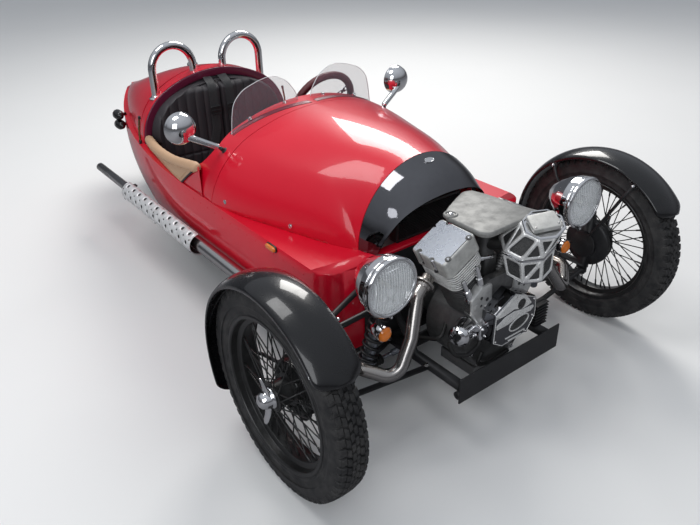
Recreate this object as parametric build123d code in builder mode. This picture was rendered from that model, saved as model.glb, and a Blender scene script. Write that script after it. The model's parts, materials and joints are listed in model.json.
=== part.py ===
from build123d import *
from math import atan2, cos, radians, sin, sqrt, tan
import os

os.makedirs("parts", exist_ok=True)

# Three wheeled open two seater car, in millimetres. +Z is up, the nose points to -Y and the
# car's left side is +X. The origin is on the ground, under the middle of the car's box.

# Overall sizes
overall_length = 3225.0
overall_width = 1720.0
overall_height = 990.0
wheelbase = 2381.0
track = 1530.0

# Front tyres and wire wheels
front_tyre_radius = 342.0
front_tyre_width = 110.0
front_bead_radius = 244.0
front_rim_radius = 255.0
front_rim_width = 98.0
rim_metal = 4.0
rim_well_depth = 18.0
hub_barrel_radius = 40.0
hub_flange_radius = 54.0
hub_bore_radius = 15.0
hub_length = 88.0
drum_radius = 90.0
drum_width = 24.0
spokes_per_flange = 24
spoke_thickness = 4.6
spinner_radius = 30.0
spinner_ear = 84.0

# Rear tyre and wheel
rear_tyre_radius = 310.0
rear_tyre_width = 185.0
rear_rim_radius = 208.0
rear_bead_radius = 197.0
rear_rim_width = 160.0
rear_well_depth = 22.0
rear_hole_ring = 118.0
rear_hole_radius = 30.0
rear_holes = 6
rear_hub_radius = 55.0
rear_hub_length = 170.0
rear_axle_radius = 12.0
running_clearance = 1.0
seat_clearance = 0.3

# Places of the axles
front_axle_y = front_tyre_radius - overall_length / 2
rear_axle_y = front_axle_y + wheelbase
front_wheel_x = track / 2
tail_y = overall_length / 2

# Tub, the lower body: plan and heights
tub_half = 492.0
tub_front = front_axle_y + 170.0
tub_corner = 82.0
tail_start = front_axle_y + 1150.0
tail_round = 80.0
ledge_z = 540.0
tub_belly_z = 455.0
ledge_edge_inset = 4.0
tub_bottom_z = 190.0
tub_tuck = 56.0
tub_wall = 22.0
ledge_thickness = 20.0
floor_thickness = 20.0
cockpit_inset = 62.0
boot_inset = 47.0
seat_bulkhead_y = front_axle_y + 1785.0
rear_bulkhead_y = front_axle_y + 1960.0
bulkhead_thickness = 15.0
tail_rise_z = 450.0

# Upper panels: every section is a three centred arch on the ledge
side_arc_share = 0.87
panel = 4.0
shut_gap = 3.0
deck_inset = 25.0
bonnet_front = 258.0
cockpit_front = 857.0
deck_front = 1777.0
deck_rear = 1848.0
deck_top = 842.0
rim_band = 40.0
rim_depth = 12.0
lip_top = (front_axle_y + 120.0, 718.0)
lip_foot = (front_axle_y + 182.0, 545.0)

# Boot lid and its hinge
lid_gap = 5.0
lid_lift = 4.0
hinge_y = tail_y - 26.0
hinge_z = ledge_z + 13.0
hinge_pin_radius = 3.0
hinge_barrel_radius = 7.0
cap_radius = 27.0
cap_y = front_axle_y + 2000.0
cap_top = 838.0

# Steering
kingpin_x = 700.0
steering_arm = 110.0
rack_z = 170.0
rack_radius = 12.0
column_tilt = 20.7
steering_wheel_centre = (205.0, front_axle_y + 1130.0, 752.0)
steering_wheel_radius = 158.0
steering_rim_radius = 17.0
column_radius = 19.0

# Front suspension and frame
rail_x = 225.0
rail_z = 205.0
rail_radius = 19.0
upper_rail_x = 345.0
upper_rail_z = 478.0
upper_rail_radius = 15.0
frame_front = front_axle_y - 205.0
cross_z = 175.0
cross_radius = 14.0
upper_joint_z = 472.0
lower_joint_z = 215.0
wishbone_radius = 10.0
joint_eye_radius = 20.0
joint_eye_height = 18.0
kingpin_radius = 8.0
pin_clearance = 0.3

# Rear swing arm, wheel hood and dampers
arm_x = 128.0
arm_tube = 18.0
pivot = (front_axle_y + 2010.0, 255.0)
floor_z = 430.0
arch_radius = rear_tyre_radius + 22.0
hood_half = 114.0

# Seats, belts and elbow trims
seat_half = 364.0
seat_height = 330.0
seat_thickness = 80.0
seat_depth = 450.0
belt_width = 50.0
belt_x = (-260.0, -120.0, 120.0, 260.0)
trim_roll = 22.0
trim_panel = 20.0

# Roll hoops and mirrors
hoop_x = 188.0
hoop_half = 107.0
hoop_tube = 19.0
hoop_shoulder = 862.0
mirror_radius = 66.0
mirror_head = (550.0, front_axle_y + 1000.0, 835.0)
mirror_foot = (402.0, front_axle_y + 942.0, 736.0)

# Mudguards
guard_radius = 376.0
guard_edge_radius = 354.0
guard_half = 76.0
guard_sheet = 3.0
guard_front_angle = 35.0
guard_rear_angle = 210.0

# Engine: two air cooled cylinders lean out from a crankshaft that lies along the car
crank_z = 300.0
engine_y = front_axle_y - 57.0
bank_angle = 28.0
case_radius = 148.0
case_front = front_axle_y - 150.0
case_rear = front_axle_y + 60.0
case_bevel = 12.0
gear_tunnel_radius = 68.0
deck_distance = 132.0
barrel_length = 132.0
barrel_radius = 52.0
barrel_fin_radius = 64.0
barrel_fin_pitch = 12.0
barrel_fin = 4.0
lower_head_length = 42.0
head_length = 46.0
head_y_width = 151.0
head_x_width = 148.0
head_fin_pitch = 9.2
head_fin = 3.6
port_radius = 30.0
cover_height = 66.0
cover_flange = 10.0
cover_screw = 5.5
cover_notch = 10.0
pushrod_radius = 8.5
intake_z = 690.0
intake_plate = 18.0
cleaner_centre = (41.0, front_axle_y - 220.0, 612.0)
cleaner_lean = (0.5, 0.05, 0.86)
cleaner_rib = 0.76
gearcase_depth = 57.0
gearcase_bevel = 8.0
plate_width = 502.0
plate_height = 98.0
plate_sheet = 5.0

# Exhausts
header_radius = 22.5
sleeve_radius = 24.5
pipe_radius = 28.5
tail_pipe_radius = 21.0
tail_pipe_bore = 18.5
exhaust_x = 512.0
exhaust_z = 316.0
exhaust_end = front_axle_y + 2214.0
shield_front = front_axle_y + 1049.0
shield_rear = front_axle_y + 1787.0
shield_radius = 49.0
shield_sheet = 2.5
shield_hole = 9.0
shield_hole_pitch = 66.0
shield_row_angles = (-38.0, 12.0, 62.0)

# Lamps
headlamp_centre = (454.0, front_axle_y - 116.0, 630.0)
headlamp_radius = 97.0
headlamp_depth = 150.0
indicator_centre = (443.0, front_axle_y - 73.0, 438.0)
indicator_radius = 27.0
tail_light_radius = 27.0
tail_light_z = (545.0, 491.0)


def place(station):
    """Y of a station measured back from the front axle."""
    return front_axle_y + station


def save(piece, name):
    """Label a finished piece and write its file."""
    piece.part.label = name
    export_step(piece.part, f"parts/{name}.step")


def rod(start, end, radius):
    """Round bar from start to end."""
    run = Vector(*end) - Vector(*start)
    with BuildPart() as bar:
        with BuildSketch(Plane(origin=start, z_dir=run)):
            Circle(radius)
        extrude(amount=run.length)
    return bar.part


def pipe(points, bends, radius):
    """Round bar along straight runs joined by tangent bends."""
    with BuildPart() as bar:
        with BuildLine() as route:
            FilletPolyline(*points, radius=bends)
        with BuildSketch(Plane(origin=route.line @ 0, z_dir=route.line % 0)):
            Circle(radius)
        sweep()
    return bar.part


def turned(profile, origin, direction):
    """Solid of revolution: profile rows are (distance along the axis, radius)."""
    run = Vector(*direction).normalized()
    side = Vector(0, 0, 1) if abs(run.Z) < 0.9 else Vector(0, 1, 0)
    across = (side - run * side.dot(run)).normalized()
    plane = Plane(origin=origin, x_dir=run, z_dir=run.cross(across))
    with BuildPart() as solid:
        with BuildSketch(plane):
            with BuildLine():
                Polyline(*profile, close=True)
            make_face()
        revolve(axis=Axis(origin, tuple(run)))
    return solid.part


# Tub plan. The long tail arc leaves the straight side at tail_start and meets the round end.
tail_centre_y = tail_y - tail_round
tail_run = tail_centre_y - tail_start
tail_arc = (tub_half**2 + tail_run**2 - tail_round**2) / (2 * (tub_half - tail_round))


def tub_half_at(station):
    """Half width of the tub's top edge at a station."""
    run = max(0.0, place(station) - tail_start)
    return tub_half - ledge_edge_inset - tail_arc + sqrt(tail_arc**2 - run**2)


def plan_face(height, inset, front_inset=0.0):
    """Tub outline at one height, its sides moved in by inset and its front by front_inset."""
    half = tub_half - inset
    corner = tub_corner - inset
    arc = tail_arc - inset
    end = tail_round - inset
    arc_x = tub_half - tail_arc
    sweep_angle = atan2(tail_run, -arc_x)
    side = (arc_x + arc * cos(sweep_angle), tail_start + arc * sin(sweep_angle))
    middle = (arc_x + arc * cos(sweep_angle / 2), tail_start + arc * sin(sweep_angle / 2))
    corner_x = tub_half - tub_corner
    corner_y = tub_front + front_inset + corner
    nick = corner * sin(radians(45))
    with BuildSketch(Plane.XY.offset(height)) as face:
        with BuildLine():
            Line((half, corner_y), (half, tail_start))
            ThreePointArc((half, tail_start), middle, side)
            ThreePointArc(side, (0, tail_centre_y + end), (-side[0], side[1]))
            ThreePointArc((-side[0], side[1]), (-middle[0], middle[1]), (-half, tail_start))
            Line((-half, tail_start), (-half, corner_y))
            ThreePointArc(
                (-half, corner_y),
                (-corner_x - nick, corner_y - nick),
                (-corner_x, corner_y - corner),
            )
            Line((-corner_x, corner_y - corner), (corner_x, corner_y - corner))
            ThreePointArc(
                (corner_x, corner_y - corner), (corner_x + nick, corner_y - nick), (half, corner_y)
            )
        make_face()
    return face.sketch


def arch_face(station, half, top, inset=0.0, skirt=0.0, foot_z=ledge_z):
    """Three centred arch: two side arcs, one crown arc and a flat foot."""
    rise = top - foot_z
    side = side_arc_share * rise
    centre = half - side
    crown = (centre**2 + rise**2 - side**2) / (2 * (rise - side))
    lean = atan2(crown - rise, centre)
    side -= inset
    foot = half - inset
    joint = (centre + side * cos(lean), foot_z + side * sin(lean))
    middle = (centre + side * cos(lean / 2), foot_z + side * sin(lean / 2))
    with BuildSketch(Plane.XZ.offset(-place(station))) as face:
        with BuildLine():
            ThreePointArc((foot, foot_z), middle, joint)
            ThreePointArc(joint, (0, top - inset), (-joint[0], joint[1]))
            ThreePointArc((-joint[0], joint[1]), (-middle[0], middle[1]), (-foot, foot_z))
            if skirt > 0:
                low = foot_z - skirt
                Polyline((-foot, foot_z), (-foot, low), (foot, low), (foot, foot_z))
            else:
                Line((-foot, foot_z), (foot, foot_z))
        make_face()
    return face.sketch


def arch_solid(rows, foot_z=ledge_z):
    """Closed loft over rows of station, half width and top."""
    with BuildPart() as solid:
        loft(sections=[arch_face(*row, foot_z=foot_z) for row in rows])
    return solid.part


def arch_shell(rows, wall, foot_z=ledge_z):
    """Panel of even thickness lofted over the same rows."""
    with BuildPart() as shell:
        add(arch_solid(rows, foot_z))
        loft(
            sections=[arch_face(*row, inset=wall, foot_z=foot_z) for row in rows],
            mode=Mode.SUBTRACT,
        )
    return shell.part


# Tub
with BuildPart() as underside:
    with BuildSketch(Plane.YZ):
        with BuildLine():
            Polyline(
                (rear_bulkhead_y + bulkhead_thickness, tub_bottom_z),
                (tail_y + 1, tail_rise_z),
                (tail_y + 1, 0),
                (rear_bulkhead_y + bulkhead_thickness, 0),
                close=True,
            )
        make_face()
    extrude(amount=overall_width / 2, both=True)

with BuildPart() as tub_body:
    loft(
        sections=[
            plan_face(tub_bottom_z, tub_tuck),
            plan_face(tub_belly_z, 0),
            plan_face(ledge_z, ledge_edge_inset),
        ]
    )
    add(underside.part, mode=Mode.SUBTRACT)

with BuildPart() as tub_cavity:
    loft(
        sections=[
            plan_face(tub_bottom_z + floor_thickness, tub_tuck + tub_wall, tub_wall),
            plan_face(tub_belly_z, tub_wall, tub_wall),
            plan_face(ledge_z - ledge_thickness, tub_wall + ledge_edge_inset, tub_wall),
        ]
    )
    with BuildSketch(Plane.XY):
        for bulkhead_y in (seat_bulkhead_y, rear_bulkhead_y):
            with Locations((0, bulkhead_y + bulkhead_thickness / 2)):
                Rectangle(2 * tub_half, bulkhead_thickness)
    extrude(amount=ledge_z, mode=Mode.SUBTRACT)

with BuildPart() as floor_slab:
    with Locations((0, tub_front, tub_bottom_z)):
        Box(
            2 * tub_half,
            rear_bulkhead_y - tub_front,
            floor_thickness,
            align=(Align.CENTER, Align.MIN, Align.MIN),
        )

with BuildPart() as floor_pan:
    add(tub_body.part)
    add(floor_slab.part, mode=Mode.INTERSECT)
save(floor_pan, "floor_pan")

with BuildPart() as tub:
    add(tub_body.part)
    add(tub_cavity.part, mode=Mode.SUBTRACT)
    add(floor_slab.part, mode=Mode.SUBTRACT)
    # The tail is open below, behind the rear bulkhead
    with BuildSketch(Plane.XY):
        add(plan_face(0, tub_tuck + tub_wall))
        with Locations((0, rear_bulkhead_y + bulkhead_thickness)):
            Rectangle(
                2 * tub_half,
                2 * tail_y,
                align=(Align.CENTER, Align.MIN),
                mode=Mode.INTERSECT,
            )
    extrude(amount=tub_belly_z, mode=Mode.SUBTRACT)
    # Openings in the ledge: under the bonnet, over the seats and under the boot lid
    with BuildSketch(Plane.XY.offset(ledge_z - ledge_thickness)):
        with BuildLine():
            Polyline(
                (-240, place(215)),
                (240, place(215)),
                (tub_half - cockpit_inset, place(cockpit_front)),
                (-tub_half + cockpit_inset, place(cockpit_front)),
                close=True,
            )
        make_face()
    extrude(amount=ledge_thickness, mode=Mode.SUBTRACT)
    for inset, first, last in (
        (cockpit_inset, place(cockpit_front) - 1, seat_bulkhead_y),
        (boot_inset, seat_bulkhead_y + bulkhead_thickness, tail_y - 130),
    ):
        with BuildSketch(Plane.XY.offset(ledge_z - ledge_thickness)):
            add(plan_face(0, inset))
            with Locations((0, (first + last) / 2)):
                Rectangle(2 * tub_half, last - first, mode=Mode.INTERSECT)
        extrude(amount=ledge_thickness, mode=Mode.SUBTRACT)
    # Hole for the steering column in the front wall
    with BuildSketch(Plane.XZ.offset(-tub_front + 1)):
        with Locations((steering_wheel_centre[0], 394)):
            Circle(column_radius + 10)
    extrude(amount=-tub_wall - 6, mode=Mode.SUBTRACT)
    # Middle hinge knuckle for the boot lid
    with BuildSketch(Plane.YZ):
        with Locations((hinge_y, hinge_z)):
            Circle(hinge_barrel_radius)
        with Locations((hinge_y, (ledge_z + hinge_z) / 2)):
            Rectangle(2 * hinge_barrel_radius, hinge_z - ledge_z)
        with Locations((hinge_y, hinge_z)):
            Circle(hinge_pin_radius + pin_clearance, mode=Mode.SUBTRACT)
    extrude(amount=12, both=True)
save(tub, "tub")

# Bonnet, nose cowl and scuttle: station, half width, top. The bonnet and the scuttle are one
# form, parted along a seam that sweeps back towards the ledge.
upper_rows = (
    (bonnet_front, 283, 822),
    (400, 350, 838),
    (600, 413, 855),
    (860, 478, 863),
    (990, 485, 867),
    (1200, 489, 870),
)
nose_rows = (
    (112, 238, 710),
    (145, 249, 760),
    (195, 264, 800),
    (bonnet_front - shut_gap, 283, 822),
)

with BuildPart() as upper_body:
    add(arch_solid(upper_rows))

with BuildPart() as upper_shell:
    add(arch_shell(upper_rows, panel))


def ahead_of_seam(gap):
    """Everything in front of the seam between bonnet and scuttle, moved back by a gap."""
    with BuildPart() as block:
        with BuildSketch(Plane.YZ):
            with BuildLine():
                ThreePointArc(
                    (place(862) + gap, overall_height),
                    (place(890) + gap, 726),
                    (place(944) + gap, ledge_z - 10),
                )
                Polyline(
                    (place(944) + gap, ledge_z - 10),
                    (place(0), ledge_z - 10),
                    (place(0), overall_height),
                    (place(862) + gap, overall_height),
                )
            make_face()
        extrude(amount=tub_half, both=True)
    return block.part


with BuildPart() as bonnet:
    add(upper_shell.part)
    add(ahead_of_seam(0), mode=Mode.INTERSECT)
save(bonnet, "bonnet")

with BuildPart() as nose_cowl:
    add(arch_shell(nose_rows, panel))
    # The mouth leans back from its top to its feet
    with BuildSketch(Plane.YZ):
        with BuildLine():
            Polyline(
                lip_top,
                lip_foot,
                (lip_foot[0], ledge_z - 10),
                (place(60), ledge_z - 10),
                (place(60), lip_top[1] + 60),
                (
                    lip_top[0] - (lip_foot[0] - lip_top[0]) * 60 / (lip_top[1] - lip_foot[1]),
                    lip_top[1] + 60,
                ),
                close=True,
            )
        make_face()
    extrude(amount=tub_half, both=True, mode=Mode.SUBTRACT)
    add(tub_body.part, mode=Mode.SUBTRACT)
save(nose_cowl, "nose_cowl")

# Everything behind the scuttle's rear edge, which stands upright at the top, sweeps back below
# it and drops to the ledge
with BuildPart() as behind_scuttle:
    with BuildSketch(Plane.YZ):
        with BuildLine():
            Line((place(984), overall_height), (place(994), 745))
            ThreePointArc((place(994), 745), (place(1040), 678), (place(1120), 637))
            Polyline(
                (place(1120), 637),
                (place(1158), ledge_z - 10),
                (place(deck_front), ledge_z - 10),
                (place(deck_front), overall_height),
                (place(984), overall_height),
            )
        make_face()
    extrude(amount=tub_half, both=True)

with BuildPart() as scuttle:
    add(upper_shell.part)
    add(ahead_of_seam(shut_gap), mode=Mode.SUBTRACT)
    add(behind_scuttle.part, mode=Mode.SUBTRACT)
save(scuttle, "scuttle")


# Rear deck, cockpit rim and boot lid
def tail_rows(stations):
    """Arch rows over the tail: the half width follows the tub's edge."""
    return [(at, tub_half_at(at) - deck_inset, top) for at, top in stations]


deck_rows = tail_rows(((deck_front, deck_top), (deck_rear, deck_top)))
with BuildPart() as deck_body:
    add(arch_solid(deck_rows))

with BuildPart() as rear_deck:
    add(arch_shell(deck_rows, panel))
    web = arch_face(*deck_rows[0], inset=panel)
    extrude(web, amount=bulkhead_thickness, dir=(0, 1, 0))
save(rear_deck, "rear_deck")

with BuildPart() as cockpit_rim:
    extrude(arch_face(*deck_rows[0]), amount=rim_depth, dir=(0, -1, 0))
    hole = arch_face(*deck_rows[0], inset=rim_band, skirt=rim_band)
    extrude(hole, amount=rim_depth, dir=(0, -1, 0), mode=Mode.SUBTRACT)
save(cockpit_rim, "cockpit_rim")

lid_foot = ledge_z + lid_lift
lid_rows = tail_rows(
    ((deck_rear + lid_gap, 842), (2100, 790), (2400, 702), (2650, 621), (2840, 566))
)
with BuildPart() as lid_body:
    add(arch_solid(lid_rows, lid_foot))

with BuildPart() as boot_lid:
    add(arch_shell(lid_rows, panel, lid_foot))
    # A closed rear end carries two hinge knuckles and the pin
    extrude(arch_face(*lid_rows[-1], foot_z=lid_foot), amount=8, dir=(0, -1, 0))
    with BuildSketch(Plane.YZ):
        with BuildLine():
            Polyline(
                (place(2835), hinge_z - 5),
                (hinge_y, hinge_z - hinge_barrel_radius),
                (hinge_y, hinge_z + hinge_barrel_radius),
                (place(2835), hinge_z + 5),
                close=True,
            )
        make_face()
        with Locations((hinge_y, hinge_z)):
            Circle(hinge_barrel_radius)
    extrude(amount=26, both=True)
    with BuildSketch(Plane.YZ):
        with Locations((hinge_y, hinge_z)):
            Rectangle(4 * hinge_barrel_radius, 4 * hinge_barrel_radius)
    extrude(amount=12.5, both=True, mode=Mode.SUBTRACT)
    with BuildSketch(Plane.YZ):
        with Locations((hinge_y, hinge_z)):
            Circle(hinge_pin_radius)
    extrude(amount=26, both=True)
save(boot_lid, "boot_lid")

with BuildPart() as filler_cap:
    cap_profile = ((0, 0), (0, cap_radius), (34, cap_radius), (44, cap_radius * 0.72), (50, 0))
    add(turned(cap_profile, (0, cap_y, cap_top - 50), (0, 0, 1)))
    add(lid_body.part, mode=Mode.SUBTRACT)
save(filler_cap, "filler_cap")

# Cockpit: elbow trims, seats, belts, dashboard
trim_points = ((484, place(1040), 655), (452, place(1420), 588), (388, place(1762), 566))
with BuildPart() as elbow_trims:
    with BuildSketch(Plane.XY.offset(ledge_z)):
        with BuildLine() as trim_plan:
            ThreePointArc(*[point[:2] for point in trim_points])
        trace(trim_plan.line, line_width=trim_panel)
    extrude(amount=trim_points[0][2] - ledge_z)
    with BuildSketch(Plane.YZ):
        with BuildLine():
            Polyline(
                trim_points[0][1:],
                trim_points[1][1:],
                trim_points[2][1:],
                (place(1800), trim_points[2][2]),
                (place(1800), trim_points[0][2] + 1),
                (place(1000), trim_points[0][2] + 1),
                (place(1000), trim_points[0][2]),
                close=True,
            )
        make_face()
    extrude(amount=tub_half, both=True, mode=Mode.SUBTRACT)
    with BuildLine() as roll_line:
        ThreePointArc(*trim_points)
    with BuildSketch(Plane(origin=roll_line.line @ 0, z_dir=roll_line.line % 0)):
        Circle(trim_roll)
    sweep()
    add(behind_scuttle.part, mode=Mode.INTERSECT)
    add(cockpit_rim.part, mode=Mode.SUBTRACT)
    mirror(about=Plane.YZ)
save(elbow_trims, "elbow_trims")

with BuildPart() as seat_back:
    rim_row = (deck_front, deck_rows[0][1], deck_top)
    extrude(arch_face(*rim_row, inset=rim_band + 6), amount=seat_thickness, dir=(0, -1, 0))
    with BuildSketch(Plane.XY.offset(seat_height)):
        with Locations((0, place(deck_front) - seat_thickness / 2)):
            Rectangle(2 * seat_half, seat_thickness)
    extrude(amount=ledge_z - seat_height)
save(seat_back, "seat_back")

with BuildPart() as seat_cushion:
    with BuildSketch(Plane.XY.offset(tub_bottom_z + floor_thickness)):
        with Locations((0, place(1470))):
            RectangleRounded(2 * seat_half, seat_depth, 40)
    extrude(amount=seat_height - tub_bottom_z - floor_thickness)
save(seat_cushion, "seat_cushion")

with BuildPart() as harness:
    for strap_x in belt_x:
        with Locations((strap_x, place(deck_front) - seat_thickness, seat_height)):
            Box(belt_width, 3, 430, align=(Align.CENTER, Align.MAX, Align.MIN))
save(harness, "harness")

# Dials: x, height and radius
dials = ((0, 760, 55), (-130, 740, 30), (110, 700, 22), (-230, 700, 22))
with BuildPart() as dashboard:
    extrude(arch_face(948, 481, 865, inset=panel + 3), amount=18, dir=(0, -1, 0))
    with Locations((0, place(940), ledge_z)):
        Box(
            2 * tub_half,
            60,
            80,
            align=(Align.CENTER, Align.CENTER, Align.MIN),
            mode=Mode.SUBTRACT,
        )
    for dial_x, dial_z, dial_radius in dials:
        with BuildSketch(Plane.XZ.offset(-place(948))):
            with Locations((dial_x, dial_z)):
                Circle(dial_radius)
        extrude(amount=-8)
save(dashboard, "dashboard")

# Roll hoops stand on the rear deck
with BuildPart() as roll_hoops:
    hoop_y = place(1820)
    for middle_x in (-hoop_x, hoop_x):
        right = middle_x - hoop_half
        left = middle_x + hoop_half
        with BuildLine() as hoop:
            Line((right, hoop_y, 700), (right, hoop_y, hoop_shoulder))
            ThreePointArc(
                (right, hoop_y, hoop_shoulder),
                (middle_x, hoop_y, hoop_shoulder + hoop_half),
                (left, hoop_y, hoop_shoulder),
            )
            Line((left, hoop_y, hoop_shoulder), (left, hoop_y, 700))
        with BuildSketch(Plane(origin=hoop.line @ 0, z_dir=hoop.line % 0)):
            Circle(hoop_tube)
        sweep()
        for foot_x in (right, left):
            with Locations((foot_x, hoop_y, 700)):
                Cylinder(hoop_tube + 7, 80, align=(Align.CENTER, Align.CENTER, Align.MIN))
    add(deck_body.part, mode=Mode.SUBTRACT)
save(roll_hoops, "roll_hoops")

# Aero screens stand on the scuttle
with BuildPart() as aero_screens:
    with BuildSketch(Plane.XZ.offset(-place(968))):
        with BuildLine():
            Line((12, 780), (18, 870))
            ThreePointArc((18, 870), (60, 935), (130, 958))
            Line((130, 958), (215, 950))
            ThreePointArc((215, 950), (285, 915), (308, 850))
            Line((308, 850), (318, 760))
            Line((318, 760), (12, 780))
        make_face()
    extrude(amount=-5)
    mirror(about=Plane.YZ)
    add(upper_body.part, mode=Mode.SUBTRACT)
save(aero_screens, "aero_screens")

# Mirrors on tapered arms
with BuildPart() as mirrors:
    bowl = (
        (0, 0),
        (0, mirror_radius - 2),
        (8, mirror_radius),
        (30, mirror_radius - 10),
        (50, mirror_radius - 30),
        (60, 0),
    )
    head_x, head_y, head_z = mirror_head
    add(turned(bowl, (head_x, head_y + 20, head_z), (0, -1, 0)))
    add(rod(mirror_foot, (head_x, head_y - 10, head_z), 7))
    add(turned(((-14, 0), (-14, 16), (6, 14), (10, 0)), mirror_foot, (0.75, 0.0, 0.66)))
    add(upper_body.part, mode=Mode.SUBTRACT)
    mirror(about=Plane.YZ)
save(mirrors, "mirrors")

# Steering wheel and column
tilt = radians(column_tilt)
column_axis = Vector(0, cos(tilt), sin(tilt))
wheel_plane = Plane(origin=steering_wheel_centre, x_dir=(1, 0, 0), z_dir=column_axis)
with BuildPart() as steering_wheel:
    with BuildSketch(Plane(wheel_plane.origin, x_dir=wheel_plane.x_dir, z_dir=wheel_plane.y_dir)):
        with Locations((steering_wheel_radius, 0)):
            Circle(steering_rim_radius)
    revolve(axis=Axis(wheel_plane.origin, column_axis))
    with BuildSketch(wheel_plane.offset(-20)):
        Circle(36)
    extrude(amount=30)
    with BuildSketch(wheel_plane.offset(-3)):
        with PolarLocations(steering_wheel_radius / 2, 3, start_angle=-90):
            Rectangle(steering_wheel_radius, 26)
    extrude(amount=6)
save(steering_wheel, "steering_wheel")

# Front frame: rails, cross tubes, rack housing and lamp posts
with BuildPart() as front_frame:
    upper_end = (upper_rail_x, place(-8), upper_rail_z)
    add(rod((rail_x, tub_front, rail_z), (rail_x, frame_front, rail_z), rail_radius))
    add(rod((upper_rail_x, tub_front, upper_rail_z), upper_end, upper_rail_radius))
    add(rod((rail_x, place(10), rail_z), (upper_rail_x, place(10), upper_rail_z), 12))
    add(rod((0, frame_front, cross_z), (rail_x + rail_radius, frame_front, cross_z), cross_radius))
    add(rod((0, place(150), rail_z), (rail_x, place(150), rail_z), 14))
    add(rod((0, place(steering_arm), rack_z), (200, place(steering_arm), rack_z), 22))
    with Locations((195, place(steering_arm), rack_z)):
        Box(14, 44, rail_z - rack_z, align=(Align.CENTER, Align.CENTER, Align.MIN))
    with Locations((205, place(steering_arm), rail_z)):
        Box(34, 44, 14)
    lamp_post = (
        (upper_rail_x, place(0), upper_rail_z),
        (400, place(-20), 505),
        (454, place(-40), 505),
        (454, place(-40), 575),
    )
    add(pipe(lamp_post, 18, 10))
    add(rod((443, place(-42), 500), (443, place(-42), 445), 7))
    mirror(about=Plane.YZ)
    with BuildSketch(Plane.YZ):
        with Locations((place(steering_arm), rack_z)):
            Circle(rack_radius + running_clearance)
    extrude(amount=260, both=True, mode=Mode.SUBTRACT)
    add(tub_body.part, mode=Mode.SUBTRACT)
save(front_frame, "front_frame")

with BuildPart() as steering_column:
    top = wheel_plane.origin - column_axis * 21
    low = wheel_plane.origin - column_axis * 1068
    add(rod(tuple(low), tuple(top), column_radius))
    pinion = (150, place(steering_arm), rack_z + 20)
    add(rod(tuple(low), pinion, 9))
    add(turned(((-22, 0), (-22, 24), (22, 24), (22, 0)), tuple(low), tuple(column_axis)))
    add(dashboard.part, mode=Mode.SUBTRACT)
    add(front_frame.part, mode=Mode.SUBTRACT)
save(steering_column, "steering_column")

# Wishbones: eyes on the kingpin's ends, legs to the rails
with BuildPart() as wishbones:
    legs = (
        ((kingpin_x, front_axle_y, upper_joint_z), (upper_rail_x + 16, place(14), upper_rail_z)),
        ((kingpin_x, front_axle_y, upper_joint_z), (upper_rail_x + 16, place(140), upper_rail_z)),
        ((kingpin_x, front_axle_y, lower_joint_z), (rail_x + 20, place(-60), rail_z)),
        ((kingpin_x, front_axle_y, lower_joint_z), (rail_x + 20, place(135), rail_z)),
    )
    for start, end in legs:
        add(rod(start, end, wishbone_radius))
    for joint_z in (upper_joint_z, lower_joint_z):
        with Locations((kingpin_x, front_axle_y, joint_z)):
            Cylinder(joint_eye_radius, joint_eye_height)
            Cylinder(kingpin_radius + pin_clearance, 60, mode=Mode.SUBTRACT)
    add(front_frame.part, mode=Mode.SUBTRACT)
    mirror(about=Plane.YZ)
save(wishbones, "wishbones")

# Front dampers with their springs
with BuildPart() as front_dampers:
    top = (upper_rail_x, place(40), upper_rail_z)
    foot = (440, place(40), lower_joint_z + 3)
    add(rod(foot, top, 9))
    along = Vector(*top) - Vector(*foot)
    start = tuple(Vector(*foot) + along * 0.18)
    end = tuple(Vector(*foot) + along * 0.9)
    add(rod(start, end, 33))
    add(rod(foot, start, 20))
    add(front_frame.part, mode=Mode.SUBTRACT)
    add(wishbones.part, mode=Mode.SUBTRACT)
    mirror(about=Plane.YZ)
save(front_dampers, "front_dampers")

# Steering rack with its track rods
with BuildPart() as steering_rack:
    rod_end = kingpin_x - 15
    add(rod((-rod_end, place(steering_arm), rack_z), (rod_end, place(steering_arm), rack_z), 7))
    add(rod((-250, place(steering_arm), rack_z), (250, place(steering_arm), rack_z), rack_radius))
    for side in (-1, 1):
        with Locations((side * rod_end, place(steering_arm), rack_z)):
            Cylinder(13, 16)
save(steering_rack, "steering_rack")


# Front corners, made on the car's left and mirrored to its right
axle = (front_wheel_x, front_axle_y, front_tyre_radius)
inner_face = front_wheel_x - front_rim_width / 2


def on_axle(x):
    """Point of the left front axle at one distance from the car's middle."""
    return (x, front_axle_y, front_tyre_radius)


with BuildPart() as knuckle_left:
    with Locations((kingpin_x - 1, front_axle_y, (upper_joint_z + lower_joint_z) / 2)):
        Box(26, 40, upper_joint_z - lower_joint_z - joint_eye_height - 8)
    pin_foot = (kingpin_x, front_axle_y, lower_joint_z - 15)
    add(rod(pin_foot, (kingpin_x, front_axle_y, upper_joint_z + 15), kingpin_radius))
    stub_radius = hub_bore_radius - running_clearance
    add(rod(on_axle(kingpin_x), on_axle(front_wheel_x + 38), stub_radius))
    add(rod(on_axle(kingpin_x), on_axle(inner_face + 4), drum_radius + 7))
    with Locations((kingpin_x - 6, place(steering_arm / 2), 245)):
        Box(18, steering_arm + 20, 20)
    with Locations((kingpin_x - 15, place(steering_arm), 192)):
        Cylinder(8, 60, align=(Align.CENTER, Align.CENTER, Align.MIN))
    with Locations((kingpin_x - 20, front_axle_y, front_tyre_radius)):
        Box(12, 200, 200, mode=Mode.SUBTRACT)
save(knuckle_left, "knuckle_left")

with BuildPart() as knuckle_right:
    mirror(knuckle_left.part, about=Plane.YZ)
save(knuckle_right, "knuckle_right")

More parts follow.
